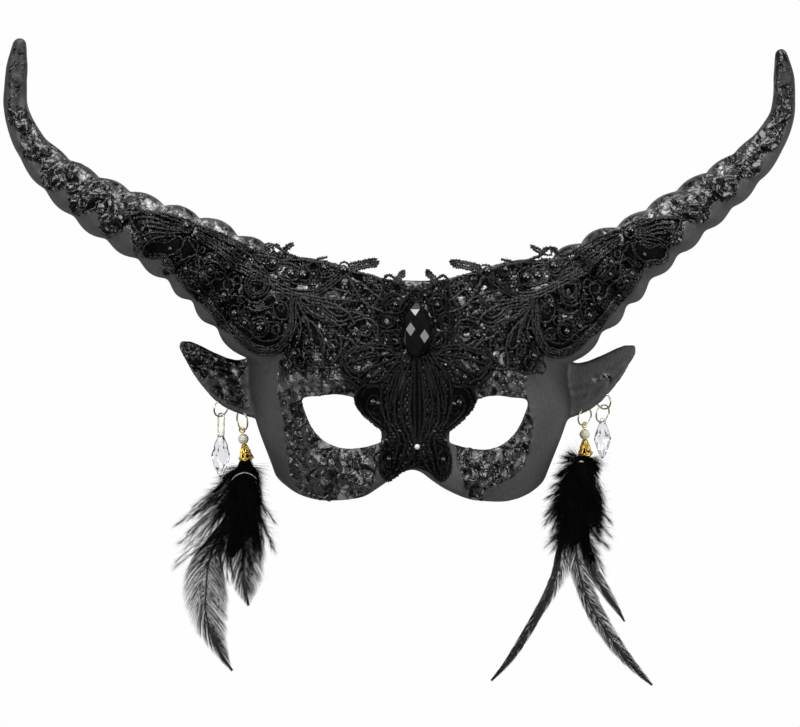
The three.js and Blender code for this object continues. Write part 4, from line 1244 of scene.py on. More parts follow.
SPRAY_CORDS = [
    [(102.2, 62.1), (108.7, 65.4), (116.1, 67.7), (123.5, 68.1), (128.6, 67.2)],
    [(102.7, 61.9), (109.2, 63.5), (115.6, 65.4), (122.1, 65.8)],
    [(102.7, 61.2), (109.6, 62.1), (116.1, 63.7), (121.6, 64)],
    [(102.7, 60.5), (110.5, 61), (116.1, 61.7), (119.8, 62.1)],
    [(103.1, 59.8), (111.5, 59.6), (117, 59.3), (120.7, 58)],
    [(103.1, 58.9), (110.5, 58), (116.1, 57), (118.9, 54.7), (119.8, 51.5), (117.9, 48.7), (113.3, 48.2),
     (107.8, 49.4), (103.6, 52.9), (102.2, 57)],
    [(96.6, 62.2), (88.8, 59.5), (82.3, 56.1), (75.4, 52.6), (69.8, 49.6)],
    [(96.6, 60.7), (90, 58), (85.4, 55.3), (80.5, 53), (75.5, 49.6), (68.9, 45)],
    [(96.9, 58.4), (91.6, 55.7), (87.7, 53), (83.1, 50.3), (78.6, 46.5), (71.7, 41.3)],
    [(96.2, 57.3), (91.6, 54.2), (86.2, 50.3), (83.9, 48.1), (80.5, 45)],
    [(95.8, 55.7), (90, 51.5), (85.1, 48.1), (81.6, 43.4)],
    [(71.2, 48.6), (66.1, 48), (60.6, 46.4), (55, 46.8), (49.5, 46.8), (43.9, 46), (38.4, 44.8), (33.8, 43)],
    [(51.3, 44.3), (47.6, 44.7), (43.1, 47.2), (39.3, 47.8)],
    [(75.5, 29.3), (73.5, 27.9), (70.9, 27.4), (68.5, 28.4), (66.3, 30.4)],
    [(75.5, 25.6), (72.2, 24.2), (68.9, 24.3), (66.6, 25.1), (64.8, 26.5)],
    [(55, 31.6), (47.6, 30.7), (39.3, 29.5), (32.8, 28.8)],
    [(53.2, 30.7), (47.6, 28.2), (41.4, 26.5), (37.3, 22.8), (33.2, 21.6), (27.8, 24.5)],
    [(52.7, 29.9), (48.1, 24.9), (43, 21.6), (37.5, 20), (34.7, 17.5), (30.5, 18.2)],
    [(53, 29), (49.7, 22), (45.6, 18.3), (42.3, 13.8), (40.6, 8.5), (41.4, 3), (40.7, -1.9)],
    [(53.8, 29.5), (51.3, 24.2), (48.1, 19.6), (46.4, 13.4), (46, 8.5)],
    [(55.5, 29), (56.3, 22.4), (57.1, 16.8), (60.4, 9.4)],
    [(51.3, 30.2), (43.9, 28.8), (35.6, 26.5), (30.1, 22.8), (27.3, 18.2)],
    [(54.1, 28.8), (52.7, 21.9), (50.9, 16.3), (51.8, 10.8)],
    [(30.2, 38.9), (26.8, 33.1), (24.1, 28.8), (19, 25.1), (14.6, 23.8)],
    [(25, 37.1), (15.3, 28.8)],
    [(22.7, 39.5), (16.4, 34)],
    [(31.5, 41.3), (28.2, 35.8), (28.7, 30.2), (33.8, 26)],
    [(30.1, 16.3), (25.4, 20), (19.9, 20), (17.3, 16.3), (18.1, 11.8), (22.7, 8.9), (27.3, 11.7)],
    [(37.5, 16.3), (33.8, 11.7), (33.8, 5.2), (37.5, -0.3)],
    [(25.4, 7.1), (29.1, 10.8), (33.8, 12.6)],
    [(60, 51.6), (56.8, 53.2), (54.3, 54.6)],
    [(59, 50.4), (56, 52.2), (53.9, 53.4)],
    [(30, 44.7), (22.7, 46.2), (17.2, 47)],
    [(29.4, 43.8), (22.7, 45.2), (16.2, 46)],
    [(29.4, 42.8), (22.7, 44.2), (16.2, 44.9)],
    [(29.4, 41.8), (22.7, 43.2), (17.2, 44)],
    [(10.6, 36.8), (8.2, 39.6), (5.1, 42.2)],
    [(9.8, 36.4), (7.6, 38.8), (5, 41.6)],
    [(9, 35.8), (6.8, 38.2), (4.8, 41)],
    [(98, 34), (92, 30), (88, 25)],
    [(104, 40), (99, 42), (93, 39), (88.6, 34)],
    [(106, 46), (100, 49), (94, 47), (89, 46), (85, 42)],
    [(101, 56), (97, 50), (95.6, 44), (97.6, 38)],
]
CRESCENT = [
    (81.4, 44.1), (74.5, 41.3), (68.9, 38.5), (62.4, 35.3), (56, 32.5), (49.5, 31.6), (43, 33), (37.5, 36.7),
    (33.8, 39.9), (32.4, 41.3),
]
PAISLEY = [
    (92, 28.8), (87.4, 24.2), (82.3, 18.6), (77.7, 14), (72.6, 9.4), (66.6, 7.3), (61.1, 8.9), (57.4, 14),
    (56, 20), (56.4, 26.5), (55.5, 30.7),
]
SPRAY_THIN = [
    [(99, 33), (95, 37), (96, 42), (101, 44)],
    [(93, 46), (89, 50), (83, 46)],
    [(86, 28), (84, 33), (88, 37), (92, 35)],
    [(79, 22), (76, 26), (80, 31), (84, 30)],
    [(62, 22), (66, 26), (72, 24)],
    [(45, 4), (50, 8), (47, 13), (42, 11)],
    [(36, 2), (32, 6), (36, 11), (33, 16)],
    [(24, 30), (22, 34), (26, 37)],
    [(65, 47), (60, 43), (66, 41), (71, 44)],
    [(44, 37), (49, 36.6), (55, 36.4), (61, 40)],
    [(112, 50), (114, 54), (109, 56)],
]
SPRAY_RINGS = [
    (75.9, 18.6, 1.8), (73.5, 13.6, 1.6), (65.7, 21, 2.2), (62.4, 15.9, 1.9), (77.7, 29.3, 1.7),
    (95.3, 45, 1.9), (99, 36.2, 1.8), (87.4, 40.4, 2), (94.8, 51, 1.6), (105, 47.3, 1.6), (82.8, 35.3, 2.2),
    (70.9, 35.8, 5.8), (70.9, 35.8, 4.6), (70.9, 35.8, 3.5), (57.1, -0.3, 2.4), (51.3, 1.5, 2.4),
    (57.8, 7.5, 2.3), (47.2, 6.2, 1.8), (43.9, -0.3, 1.8), (37, 8.9, 2), (31.5, 1.5, 1.8),
    (27.8, 13.1, 2.1), (22.7, 14.9, 2.4), (35.6, 16.3, 1.7), (20.8, 6.2, 1.5), (37.5, 30.2, 1.6),
    (20, 38.1, 2), (17.4, 34.4, 1.7), (56.5, 40.2, 3.1), (49.7, 40.2, 3.2), (64.6, 45.1, 2.7),
    (32.1, 42.5, 2.9), (101.5, 61.5, 2.7), (40.6, 43.5, 2.7), (40.6, 43.5, 1.6), (80.5, 24.3, 2.4),
    (69.4, 17, 2.9), (69.4, 17, 4.2), (84.6, 31.3, 2.2), (91.3, 47.5, 1.8), (100.8, 42.7, 1.8),
    (91.3, 42.7, 1.7), (53.2, 4.9, 1.9), (86, 52.6, 1.4), (62.4, 51.4, 1.8), (65.4, 52.6, 1.3),
    (34, 24.4, 1.3), (46, 25.8, 1.2), (61, 30.6, 1.6), (60.4, 25.4, 1.5), (79.4, 37.6, 1.6),
    (74.6, 44.8, 1.5),
]
SPRAY_SATIN = [
    ([(119.3, 53.8), (103.6, 56.6), (104.5, 51), (111.5, 48.7), (117.5, 49.2)], 0.1),
    ([(91.1, 37.6), (85.6, 39), (80.9, 36.2), (81.9, 32.5), (87.4, 31.6)], 0.7),
    ([(63.8, 27.4), (60.1, 28.4), (57.4, 25.6), (57.8, 20.5), (62, 21)], 1.3),
    ([(82.3, 19.6), (77.7, 14.9), (72.6, 10.3), (66.6, 8.2), (61.1, 9.9), (58.7, 13.6), (62.4, 11.7),
      (67.1, 10.8), (71.7, 13.1), (76.3, 17.3)], 0.6),
    ([(78, 41), (72, 41.6), (66, 38), (64, 33), (66.6, 41), (72.6, 44.6)], 0.5),
    ([(50.6, 22.4), (44.6, 16.6), (42.4, 8), (45.4, 8.6), (47.6, 15.4)], 1.1),
    ([(33, 19), (29.4, 22.8), (35.4, 25.6), (42, 26)], 0.2),
    ([(102, 46), (97, 54), (101, 57), (104, 50)], 1.0),
]
SPRAY_BEADS = [
    (56.5, 40.2, 2.2), (49.7, 40.2, 2.2), (64.6, 45.1, 1.9), (32.1, 42.5, 2), (101.5, 61.5, 1.9),
    (40.6, 43.5, 1.5), (80.5, 24.3, 1.5), (69.4, 17, 1.6), (84.6, 31.3, 1.4), (91.3, 47.5, 1.2),
    (100.8, 42.7, 1.2), (91.3, 42.7, 1.1), (53.2, 4.9, 1.3), (27.5, 13.6, 1.3), (22.4, 34, 1.2),
    (62.4, 27.6, 1), (75.6, 19, 1.1), (46, 11, 1), (96, 34, 1), (108, 52, 1), (24.2, 26, 1),
    (34.2, 13, 0.9), (36, 4, 1),
]

smooth_crescent = flowing_line(CRESCENT, 4)[0]
smooth_paisley = flowing_line(PAISLEY, 4)[0]
spray_cords = SPRAY_CORDS + [beside(smooth_crescent, gap) for gap in (-1.25, 0, 1.25)]
spray_cords += [beside(smooth_paisley, gap) for gap in (0, 1.15, 2.3)]


def up_the_horn(side, spots):
    """The spray's drawing on one side of the mask, following the lean of the horns."""
    spots = np.array(spots, dtype=float)
    spots[:, 0] = side * spots[:, 0] + HORN_LEAN * soft_step(50, 160, spots[:, 0])
    return spots


for side, node in ((-1, "lace_spray_left"), (1, "lace_spray_right")):
    lace_piece(
        node,
        thread,
        up_the_horn(side, SPRAY_OUTLINE),
        [up_the_horn(side, opening) for opening in SPRAY_OPENINGS],
        [up_the_horn(side, line) for line in spray_cords],
        [up_the_horn(side, line) for line in SPRAY_THIN],
        up_the_horn(side, SPRAY_RINGS),
        [(up_the_horn(side, leaf), side * turn) for leaf, turn in SPRAY_SATIN],
        up_the_horn(side, SPRAY_BEADS),
        31 + side,
    )


# Brow stone
# A pointed oval of black glass, cut all over into small diamonds like a harlequin's coat, and glued in the
# middle of the butterfly.

STONE_HALF_WIDTH = 7.05
STONE_HALF_LENGTH = 12.5
STONE_AT = (0, 15.8, 62.3)
STONE_LEAN = -0.196
FACET_HALF_WIDTH = 2.1
FACET_HALF_LENGTH = 3.1
FACET_SHIFT = (-1.05, -0.6)
STONE_HEIGHT = 5.8
STONE_DOME = 0.03


def turned(points, angle, axis="X"):
    return np.asarray(points) @ np.array(Matrix.Rotation(angle, 3, axis)).T


angles = np.linspace(0, 2 * math.pi, 40, endpoint=False)
oval = np.column_stack([
    STONE_HALF_WIDTH * np.sign(np.sin(angles)) * np.abs(np.sin(angles)) ** 1.3,
    STONE_HALF_LENGTH * np.cos(angles),
])
dome_along = STONE_DOME * (FACET_HALF_WIDTH / FACET_HALF_LENGTH) ** 2
corners = [(x, y, z) for scale, z in ((0.97, 0), (1, 0.8), (0.985, 1.5)) for x, y in oval * scale]
for column in range(-5, 6):
    for row in range(-5, 6):
        x = column * FACET_HALF_WIDTH + FACET_SHIFT[0]
        y = row * FACET_HALF_LENGTH + FACET_SHIFT[1]
        if (column + row) % 2 == 0 and depth_inside(np.array([(x, y)]), oval * 0.93)[0] > 0:
            corners.append((x, y, STONE_HEIGHT - STONE_DOME * x * x - dome_along * y * y))
cut_stone = bmesh.new()
for corner in set_in_place(turned(corners, STONE_LEAN) + STONE_AT) * MM:
    cut_stone.verts.new(corner)
bmesh.ops.convex_hull(cut_stone, input=cut_stone.verts)
bmesh.ops.delete(cut_stone, geom=[vert for vert in cut_stone.verts if not vert.link_faces], context="VERTS")
bmesh.ops.dissolve_limit(cut_stone, angle_limit=0.01, verts=cut_stone.verts, edges=cut_stone.edges)
stone_mesh = bpy.data.meshes.new("black_stone")
cut_stone.to_mesh(stone_mesh)
cut_stone.free()
stone = bpy.data.objects.new("black_stone", stone_mesh)
bpy.context.collection.objects.link(stone)
stone_glass, shader, _ = mottled(
    "black_cut_glass", 300, (0.001, 0.006), roughs=(0.02, 0.07), finish=(0.05, 0.0)
)
shader.inputs["IOR"].default_value = 1.75
stone_mesh.materials.append(stone_glass)
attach(stone, "root")
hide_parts("brow_stone")


# Nose bead
# One small white bead with a pearly coat. It is sewn on where the butterfly's cords meet, above the notch
# under the nose.

NOSE_BEAD_AT = (0, -36.5, 71.2)
NOSE_BEAD_RADIUS = 1.25
PEARL = ((0.42, 0.41, 0.39), (0.66, 0.66, 0.64))
pearl, shader, _ = mottled("white_pearl", 900, PEARL, finish=(0.18, 0.0))
shader.inputs["Coat Weight"].default_value = 0.5
points, triangles = ball(NOSE_BEAD_AT, NOSE_BEAD_RADIUS, around=28, levels=18)
nose_bead = new_piece("sewn_bead", set_in_place(points), triangles, pearl)
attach(nose_bead, "root")
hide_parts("nose_bead")


# Jump rings and links
# Round gilt wire: two split rings through the lower edge of each ear, one more below the right ear, and a
# long link that joins the left outer ring to its crystal.

RING_WIRE = 0.38
RING_STEPS = 72
# Middle, radius, turn, tilt, and how far the two halves are drawn apart to make a long link.
RINGS = {
    "left_outer_ring": ((-86.2, -20.4, 7.8), 4.1, 0.65, 0.35, 0),
    "left_inner_ring": ((-76.4, -26.2, 8.1), 4.5, -1.03, 0.35, 0),
    "right_outer_ring": ((91.2, -15.7, 8.5), 3.9, -0.65, 0.35, 0),
    "right_inner_ring": ((82.6, -23.2, 7.8), 4.1, 0.65, 0.35, 0),
    "left_crystal_link": ((-86.1, -28.45, 5.6), 1.55, -0.6, 0.15, 4),
    "right_lower_ring": ((91.2, -21.65, 5.7), 4.1, 0.65, 0.35, 0),
}

GILT = ((0.7, 0.42, 0.03), (1.0, 0.8, 0.2))
PALE_GILT = ((0.42, 0.4, 0.24), (0.86, 0.83, 0.62))
gilt, _, _ = mottled("gilt_wire", 1300, GILT, (0.3, 0.65), (0.18, 0.32), finish=(0.18, 1.0))
champagne, _, _ = mottled("pale_gilt_wire", 1300, PALE_GILT, (0.3, 0.65), (0.22, 0.4), finish=(0.3, 1.0))


def upright(count):
    """The same direction, out of the face, for each of so many points."""
    return np.tile((0.0, 0.0, 1.0), (count, 1))


def gilt_piece(node, name, points, triangles, metal):
    piece = new_piece(name, set_in_place(points), triangles, metal)
    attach(piece, "root")
    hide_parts(node)


for node, (middle, radius, turn, tilt, reach) in RINGS.items():
    # A split ring: the wire's two ends meet at the top, with a hair's breadth between them.
    angle = np.linspace(0.02, 2 * math.pi - 0.02, RING_STEPS) + math.pi / 2
    y = radius * np.sin(angle)
    loop = np.column_stack([radius * np.cos(angle), y + np.clip(y * 4, -1, 1) * reach, np.zeros(RING_STEPS)])
    points, triangles = tube(loop, upright(RING_STEPS), RING_WIRE, sides=12)
    points = turned(turned(points, turn, "Y"), tilt) + middle
    gilt_piece(node, node + "_wire", points, triangles, champagne)


# Crystal drops
# Two clear cut-glass pendants with long facets. Each hangs by its top, one from its link and one from its
# lower ring. The holes for the wire are too small to show and are left out.

DROP_PROFILE = [
    (-0.9, 1), (0.2, 1.55), (1.6, 1.7), (5, 3.2), (9.8, 4.5), (14.6, 3.3), (18.6, 1.5), (20.2, 0.2),
]
DROP_FLATS = 8
crystal, tree, shader = new_material("clear_cut_glass", 0.0)
shader.inputs["Base Color"].default_value = (0.83, 0.83, 0.86, 1)
shader.inputs["Transmission Weight"].default_value = 1.0
shader.inputs["IOR"].default_value = 1.5
polish = grain_of(tree, 900)
polish_rough = blend_of(tree, 0.0, 0.04, 0.3, 0.8)
link(
    tree,
    (polish.outputs["Value"], polish_rough.inputs["Fac"]),
    (polish_rough.outputs["Color"], shader.inputs["Roughness"]),
)


def hoop(radius, level, angle):
    """Points round an axis that hangs down the picture, at the given angles and level."""
    return np.column_stack([radius * np.cos(angle), level + 0 * angle, radius * np.sin(angle)])


for node, top, size, spin in (
    ("left_crystal_drop", (-86.1, -32.4, 4.85), 1.0, 0.2),
    ("right_crystal_drop", (91.4, -24.5, 4.4), 0.9, 0.5),
):
    rings = []
    for level, (down, radius) in enumerate(DROP_PROFILE, 1):
        # Every other row of corners is turned half a step, so that the flats are long triangles and kites.
        angle = 2 * math.pi * (np.arange(DROP_FLATS) + 0.5 * (level % 2)) / DROP_FLATS + spin
        rings.append(hoop(radius, -down, angle))
    points, triangles = loft(np.array(rings) * size + top)
    drop = new_piece(node + "_glass", set_in_place(points), triangles, crystal, smooth=False)
    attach(drop, "root")
    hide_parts(node)


# Eye pins, pale beads and filigree caps
# A gilt pin hangs from each inner ring by its eye. It holds a cream glass bead, and below it a bell-shaped
# filigree cap that covers the tied quills.

# Where the eye of each pin is, the way that it hangs, and its turn.
HANGERS = {
    "left": ((-76.4, -30.5, 6.6), (0.16, -0.97, -0.21), 0.4),
    "right": ((82.6, -27.1, 6.4), (0.07, -0.975, -0.21), -0.8),
}
PIN_EYE = 1.3
PIN_WIRE = 0.35
PIN_LENGTH = 11.4
BEAD_PROFILE = [
    (0.7, -6.75), (1.3, -6.45), (1.95, -5.8), (2.35, -5), (2.45, -4.4), (2.35, -3.8), (1.95, -3),
    (1.3, -2.35), (0.7, -2.05),
]
CAP_OUTER = [(0.8, -7.3), (1.4, -8.2), (1.85, -9.4), (2.15, -10.8), (2.6, -12.2), (3.15, -13.3)]
CAP_PETALS = 7
BELL_WIRE = 0.3
HEM_WIRE = 0.32
HEM_RADIUS = 3.2
HEM_LEVEL = -13
HEM_SCALLOP = 0.9
CAP_BALLS = ((0.0, -7.5, 1.05, 0.4), (0.5, -10.4, 2.1, 0.55), (0.0, -13.1, 3.2, 0.5))
CAP_HOOPS = ((-7.3, 0.95, 0.34), (-8.3, 1.5, 0.24), (-10.5, 2.1, 0.22), (-12.9, 3.05, 0.26))

CREAM = ((0.6, 0.56, 0.38), (0.84, 0.82, 0.66))
cream, shader, _ = mottled("cream_glass", 700, CREAM, finish=(0.12, 0.0))
shader.inputs["Coat Weight"].default_value = 0.6


def hung(points, at, down, spin):
    """From a hanger's own upright frame to its place below the ear."""
    down = np.array(down) / np.linalg.norm(down)
    side = np.cross(down, (0, 0, 1))
    side /= np.linalg.norm(side)
    front = np.cross(side, -down)
    c, s = math.cos(spin), math.sin(spin)
    points = np.asarray(points, dtype=float)
    x, y, z = points[:, 0] * c + points[:, 2] * s, points[:, 1], points[:, 2] * c - points[:, 0] * s
    return x[:, None] * -side + y[:, None] * -down + z[:, None] * front + at


def spun(profile, around):
    angle = 2 * math.pi * np.arange(around) / around
    return loft([hoop(r, y, angle) for r, y in profile])


def filigree():
    """A collar, a bell of crossed wires, a scalloped hem and small balls where wires meet."""
    parts = []
    outer = np.array(CAP_OUTER)
    fine = np.linspace(0, 1, 14)
    radius = np.interp(fine, np.linspace(0, 1, 6), outer[:, 0])
    level = np.interp(fine, np.linspace(0, 1, 6), outer[:, 1])
    for k in range(CAP_PETALS):
        for lean in (-1, 1):
            angle = 2 * math.pi * (k + lean * 0.5 * fine) / CAP_PETALS
            parts.append(tube(hoop(radius, level, angle), hoop(1, 0, angle), BELL_WIRE, sides=6))
        along_hem = np.linspace(0, 1, 12)
        angle = 2 * math.pi * (k + along_hem) / CAP_PETALS
        hem = hoop(HEM_RADIUS, HEM_LEVEL - HEM_SCALLOP * np.sin(math.pi * along_hem), angle)
        parts.append(tube(hem, hoop(1, 0, angle), HEM_WIRE, sides=6))
        for around, down, r, size in CAP_BALLS:
            a = 2 * math.pi * (k + around) / CAP_PETALS
            parts.append(ball((r * math.cos(a), down, r * math.sin(a)), size, around=8, levels=5))
    angle = 2 * math.pi * np.arange(28) / 28
    for down, r, wire in CAP_HOOPS:
        parts.append(tube(hoop(r, down, angle), hoop(1, 0, angle), wire, sides=6, closed=True))
    return gathered(parts)


for side_name, hanger in HANGERS.items():
    turn = np.linspace(0.1, 2 * math.pi - 0.1, 32) + math.pi * 1.5
    eye_line = np.column_stack([PIN_EYE * np.cos(turn), PIN_EYE * np.sin(turn), np.zeros(32)])
    shank = np.array([(0, y, 0) for y in np.linspace(-PIN_EYE, -PIN_LENGTH, 8)])
    points, triangles = gathered([
        tube(eye_line, upright(32), PIN_WIRE, sides=10),
        tube(shank, upright(8), PIN_WIRE, sides=10),
    ])
    gilt_piece(side_name + "_eye_pin", side_name + "_pin", hung(points, *hanger), triangles, gilt)

    points, triangles = spun(BEAD_PROFILE, 28)
    bead = new_piece(side_name + "_cream_bead", set_in_place(hung(points, *hanger)), triangles, cream)
    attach(bead, "root")
    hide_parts(side_name + "_pale_bead")

    points, triangles = filigree()
    gilt_piece(side_name + "_gilt_cap", side_name + "_filigree_cap", hung(points, *hanger), triangles, gilt)


# Black tufts
# Bunches of short black down, tied and glued into the caps. Each is thousands of soft barbs that leave the
# middle, bend downwards and end in loose wisps.

# Middle and half size, across and in height, down each black heart.
LEFT_TUFT = [
    (-74.9, -39.4, 4.4, 1, 1), (-74.5, -42.2, 4.1, 2, 1.6), (-74.4, -46, 4, 3.6, 2.2),
    (-75.3, -52, 4.5, 5.4, 2.7), (-76, -60.4, 4.9, 9, 3.2), (-76, -66, 5.1, 10, 3.3),
    (-76, -71.5, 5, 9.4, 3), (-76.4, -77, 4.7, 7.6, 2.6), (-79, -84, 4.2, 4.2, 1.8),
    (-80.5, -89, 3.8, 0.8, 0.8),
]
RIGHT_TUFT = [
    (83.6, -37, 4.1, 1, 1), (83.5, -41, 3.7, 3.4, 1.9), (82.3, -45.6, 4.6, 5.4, 2.6),
    (80.7, -53, 5.1, 9.4, 3), (80, -60.4, 5.2, 13.6, 3.2), (79.6, -67.8, 5.1, 14, 3),
    (79.8, -73.4, 4.9, 11.4, 2.7), (78.6, -79, 4.6, 6.6, 2.2), (78, -83, 4.4, 1, 1),
]
# Where the loose locks end.
LEFT_LOCKS = [
    (-101, -71.6), (-105.6, -73.4), (-110.2, -76.6), (-107.9, -85.9), (-109.3, -93.7), (-110.2, -97),
    (-98.7, -68.8), (-93.6, -63.7), (-89, -59.5), (-102.4, -90), (-97.8, -83.1), (-65.4, -63.2),
    (-63.1, -71.6), (-58.5, -75.3), (-60.4, -87.7), (-58.5, -89.1), (-67.2, -54.9), (-62.6, -80.8),
    (-66.3, -94.7), (-65.4, -92.5), (-90, -92), (-95, -96), (-86, -97), (-82.9, -103.9), (-69.6, -101),
    (-76, -100), (-103.5, -80), (-100, -77),
]
RIGHT_LOCKS = [
    (71, -45.2), (67.3, -52.6), (63.2, -62.8), (62.7, -71.1), (62.7, -75.7), (63.2, -85.4), (66.4, -88.2),
    (69.2, -92.8), (90.9, -53.5), (92.3, -66.9), (98.3, -74.3), (97.9, -81.3), (97.4, -85.9), (95.1, -98.9),
    (94.2, -93.8), (89.5, -47.5), (78, -86), (73.8, -83.7), (83.1, -83.7), (89.1, -92.5), (65, -58),
    (94, -71), (66, -80), (93, -80),
]
TUFT_BARBS = 4200
LOCK_BARBS = 150
BARB_NARROWING = np.array([0.8, 1.0, 0.85, 0.6, 0.12])

SOOT = ((0.0003, 0.0002, 0.0002), (0.003, 0.0025, 0.0025))
down_black, shader, _ = mottled("black_down", 800, SOOT, (0.35, 0.7), (0.5, 0.75), finish=(0.62, 0.0))
shader.inputs["Specular IOR Level"].default_value = 0.03


def barbs(roots, bends, tips, widths, lean):
    """Thin flat strands along curves from roots to tips, narrowing to a point: points and triangles."""
    steps = len(BARB_NARROWING)
    t = np.linspace(0, 1, steps)[None, :, None]
    line = (1 - t) ** 2 * roots[:, None] + 2 * t * (1 - t) * bends[:, None] + t**2 * tips[:, None]
    forward = 2 * (1 - t) * (bends - roots)[:, None] + 2 * t * (tips - bends)[:, None]
    flat = np.stack([np.sin(lean), np.zeros(len(lean)), np.cos(lean)], axis=-1)
    across = np.cross(forward, flat[:, None])
    across /= np.maximum(1e-9, np.linalg.norm(across, axis=-1, keepdims=True))
    half = widths[:, None, None] / 2 * BARB_NARROWING[None, :, None]
    points = np.stack([line - across * half, line + across * half], axis=2).reshape(-1, 3)
    k = np.arange(steps - 1)
    one = np.concatenate([
        np.column_stack([2 * k, 2 * k + 1, 2 * k + 3]),
        np.column_stack([2 * k, 2 * k + 3, 2 * k + 2]),
    ])
    triangles = (np.arange(len(roots)) * steps * 2)[:, None, None] + one
    return points, triangles.reshape(-1, 3)


QUILL = ((0.22, 0.21, 0.2), (0.55, 0.53, 0.5))
pale_quill, _, _ = mottled("pale_quill", 900, QUILL, (0.3, 0.7), (0.3, 0.5), "Value", finish=(0.4, 0.0))
# One bare quill bends over the top of the left tuft, and an end of the tying wire shows on the right one.
LEFT_QUILL = [(-81, -53.8, 7), (-79.4, -51.8, 8.8), (-75.4, -50.2, 9.4), (-71.8, -51.2, 9), (-69.4, -53.2, 7)]
RIGHT_WIRE = [(79.6, -44.1, 7.4), (81, -43.9, 8), (82.4, -44.1, 7.4)]


def tuft(name, node, stations, locks, sweep, seed, strand, strand_radius, strand_material):
    """A black heart of short barbs, with loose locks that leave it and narrow to the given ends."""
    draw = np.random.default_rng(seed)
    line, place, _ = flowing_line(stations, 0.5)
    full = len(line) - 1

    def at(t):
        whole = np.clip(t, 0, 1) * full
        low = np.minimum(whole.astype(int), full - 1)
        part = (whole - low)[:, None]
        return line[low] * (1 - part) + line[low + 1] * part

    count = TUFT_BARBS
    root_t = draw.uniform(0, 0.85, count) ** 0.9
    reach = draw.uniform(0.12, 0.3, count) * (1.1 - 0.45 * root_t)
    around = draw.uniform(0, 2 * math.pi, count)
    root, bend, tip = at(root_t), at(root_t + reach * 0.45), at(root_t + reach)
    far = np.sqrt(draw.uniform(0.1, 1.1, count))
    out = np.column_stack([np.cos(around), np.zeros(count), np.sin(around)])
    start, middle, end = (
        where[:, :3] + out * where[:, [3, 3, 4]] * share[:, None]
        for where, share in ((root, far * 0.2), (bend, far * draw.uniform(0.75, 1.1, count)), (tip, far))
    )
    end += draw.normal(0, 0.6, (count, 3)) * (1, 1, 0.3)
    end[:, 2], middle[:, 2] = np.clip(end[:, 2], 0.6, 9), np.clip(middle[:, 2], 0.7, 9)
    parts = [barbs(start, middle, end, draw.uniform(0.15, 0.32, count), draw.normal(0, 0.6, count))]
    # Each loose lock has two shorter ones between it and the heart.
    ends = [(x, y, 0.0) for x, y in locks]
    ends += [(x, y + draw.uniform(0.5, 6), draw.uniform(0.12, 0.5)) for x, y in locks for _ in range(2)]
    for x, y, inwards in ends:
        above = np.clip(y + draw.uniform(*sweep), line[-1, 1] + 3, line[0, 1] - 4)
        from_axis = at(np.array([np.interp(-above, -line[:, 1], place / place[-1])]))[0]
        x += (from_axis[0] - x) * inwards
        side = math.copysign(1, x - from_axis[0])
        a = from_axis[:3] + (side * from_axis[3] * 0.35, 0, draw.uniform(-1, 1.6))
        c = np.array((x, y, draw.uniform(1.6, 5)))
        c += (a - c) * min(0.3, 4.5 / np.linalg.norm(a - c))
        b = a + (c - a) * 0.5 + (side * 0.12 * (a[1] - c[1]), 0.04 * (a[1] - c[1]), 0.8)
        n = LOCK_BARBS
        s = draw.uniform(0.05, 1, n)[:, None]
        on = (1 - s) ** 2 * a + 2 * s * (1 - s) * b + s**2 * c
        forward = (1 - s) * (b - a) + s * (c - b)
        forward /= np.linalg.norm(forward, axis=1, keepdims=True)
        across = np.column_stack([forward[:, 1], -forward[:, 0], np.zeros(n)])
        length = draw.uniform(4, 7.5, (n, 1)) * (1.15 - 0.45 * s)
        spread = draw.normal(0, 0.4, (n, 1)) * (1.3 - 0.9 * s)
        end = on + length * (forward + across * spread) + draw.normal(0, 0.3, (n, 3)) * (1, 1, 0.5)
        middle = on + length * 0.5 * (forward + across * spread * 1.3)
        end[:, 2], middle[:, 2] = np.clip(end[:, 2], 0.5, 9), np.clip(middle[:, 2], 0.6, 9)
        parts.append(barbs(on, middle, end, draw.uniform(0.045, 0.09, n), draw.normal(0, 0.5, n)))
    black = gathered(parts)
    bent_over = flowing_line(strand, 0.8)[0]
    layers = [black, tube(bent_over, upright(len(bent_over)), strand_radius, sides=6)]
    points, triangles = gathered(layers)
    piece = new_piece(name, set_in_place(points), triangles, down_black)
    piece.data.materials.append(strand_material)
    kind = np.arange(len(triangles)) >= len(black[1])
    piece.data.polygons.foreach_set("material_index", kind.astype(np.int32))
    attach(piece, "root")
    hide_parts(node)


tuft("left_down", "left_black_tuft", LEFT_TUFT, LEFT_LOCKS, (16, 26), 7, LEFT_QUILL, 0.2, pale_quill)
tuft("right_down", "right_black_tuft", RIGHT_TUFT, RIGHT_LOCKS, (9, 17), 8, RIGHT_WIRE, 0.38, champagne)


# Plumes and hackles
# Long thin feathers hung below the tufts: two soft grey plumes on the left, three narrow black hackles on
# the right. Each has a bare quill at the top and fine barbs on both sides of its shaft.

FEATHER_HEIGHT = 1.2
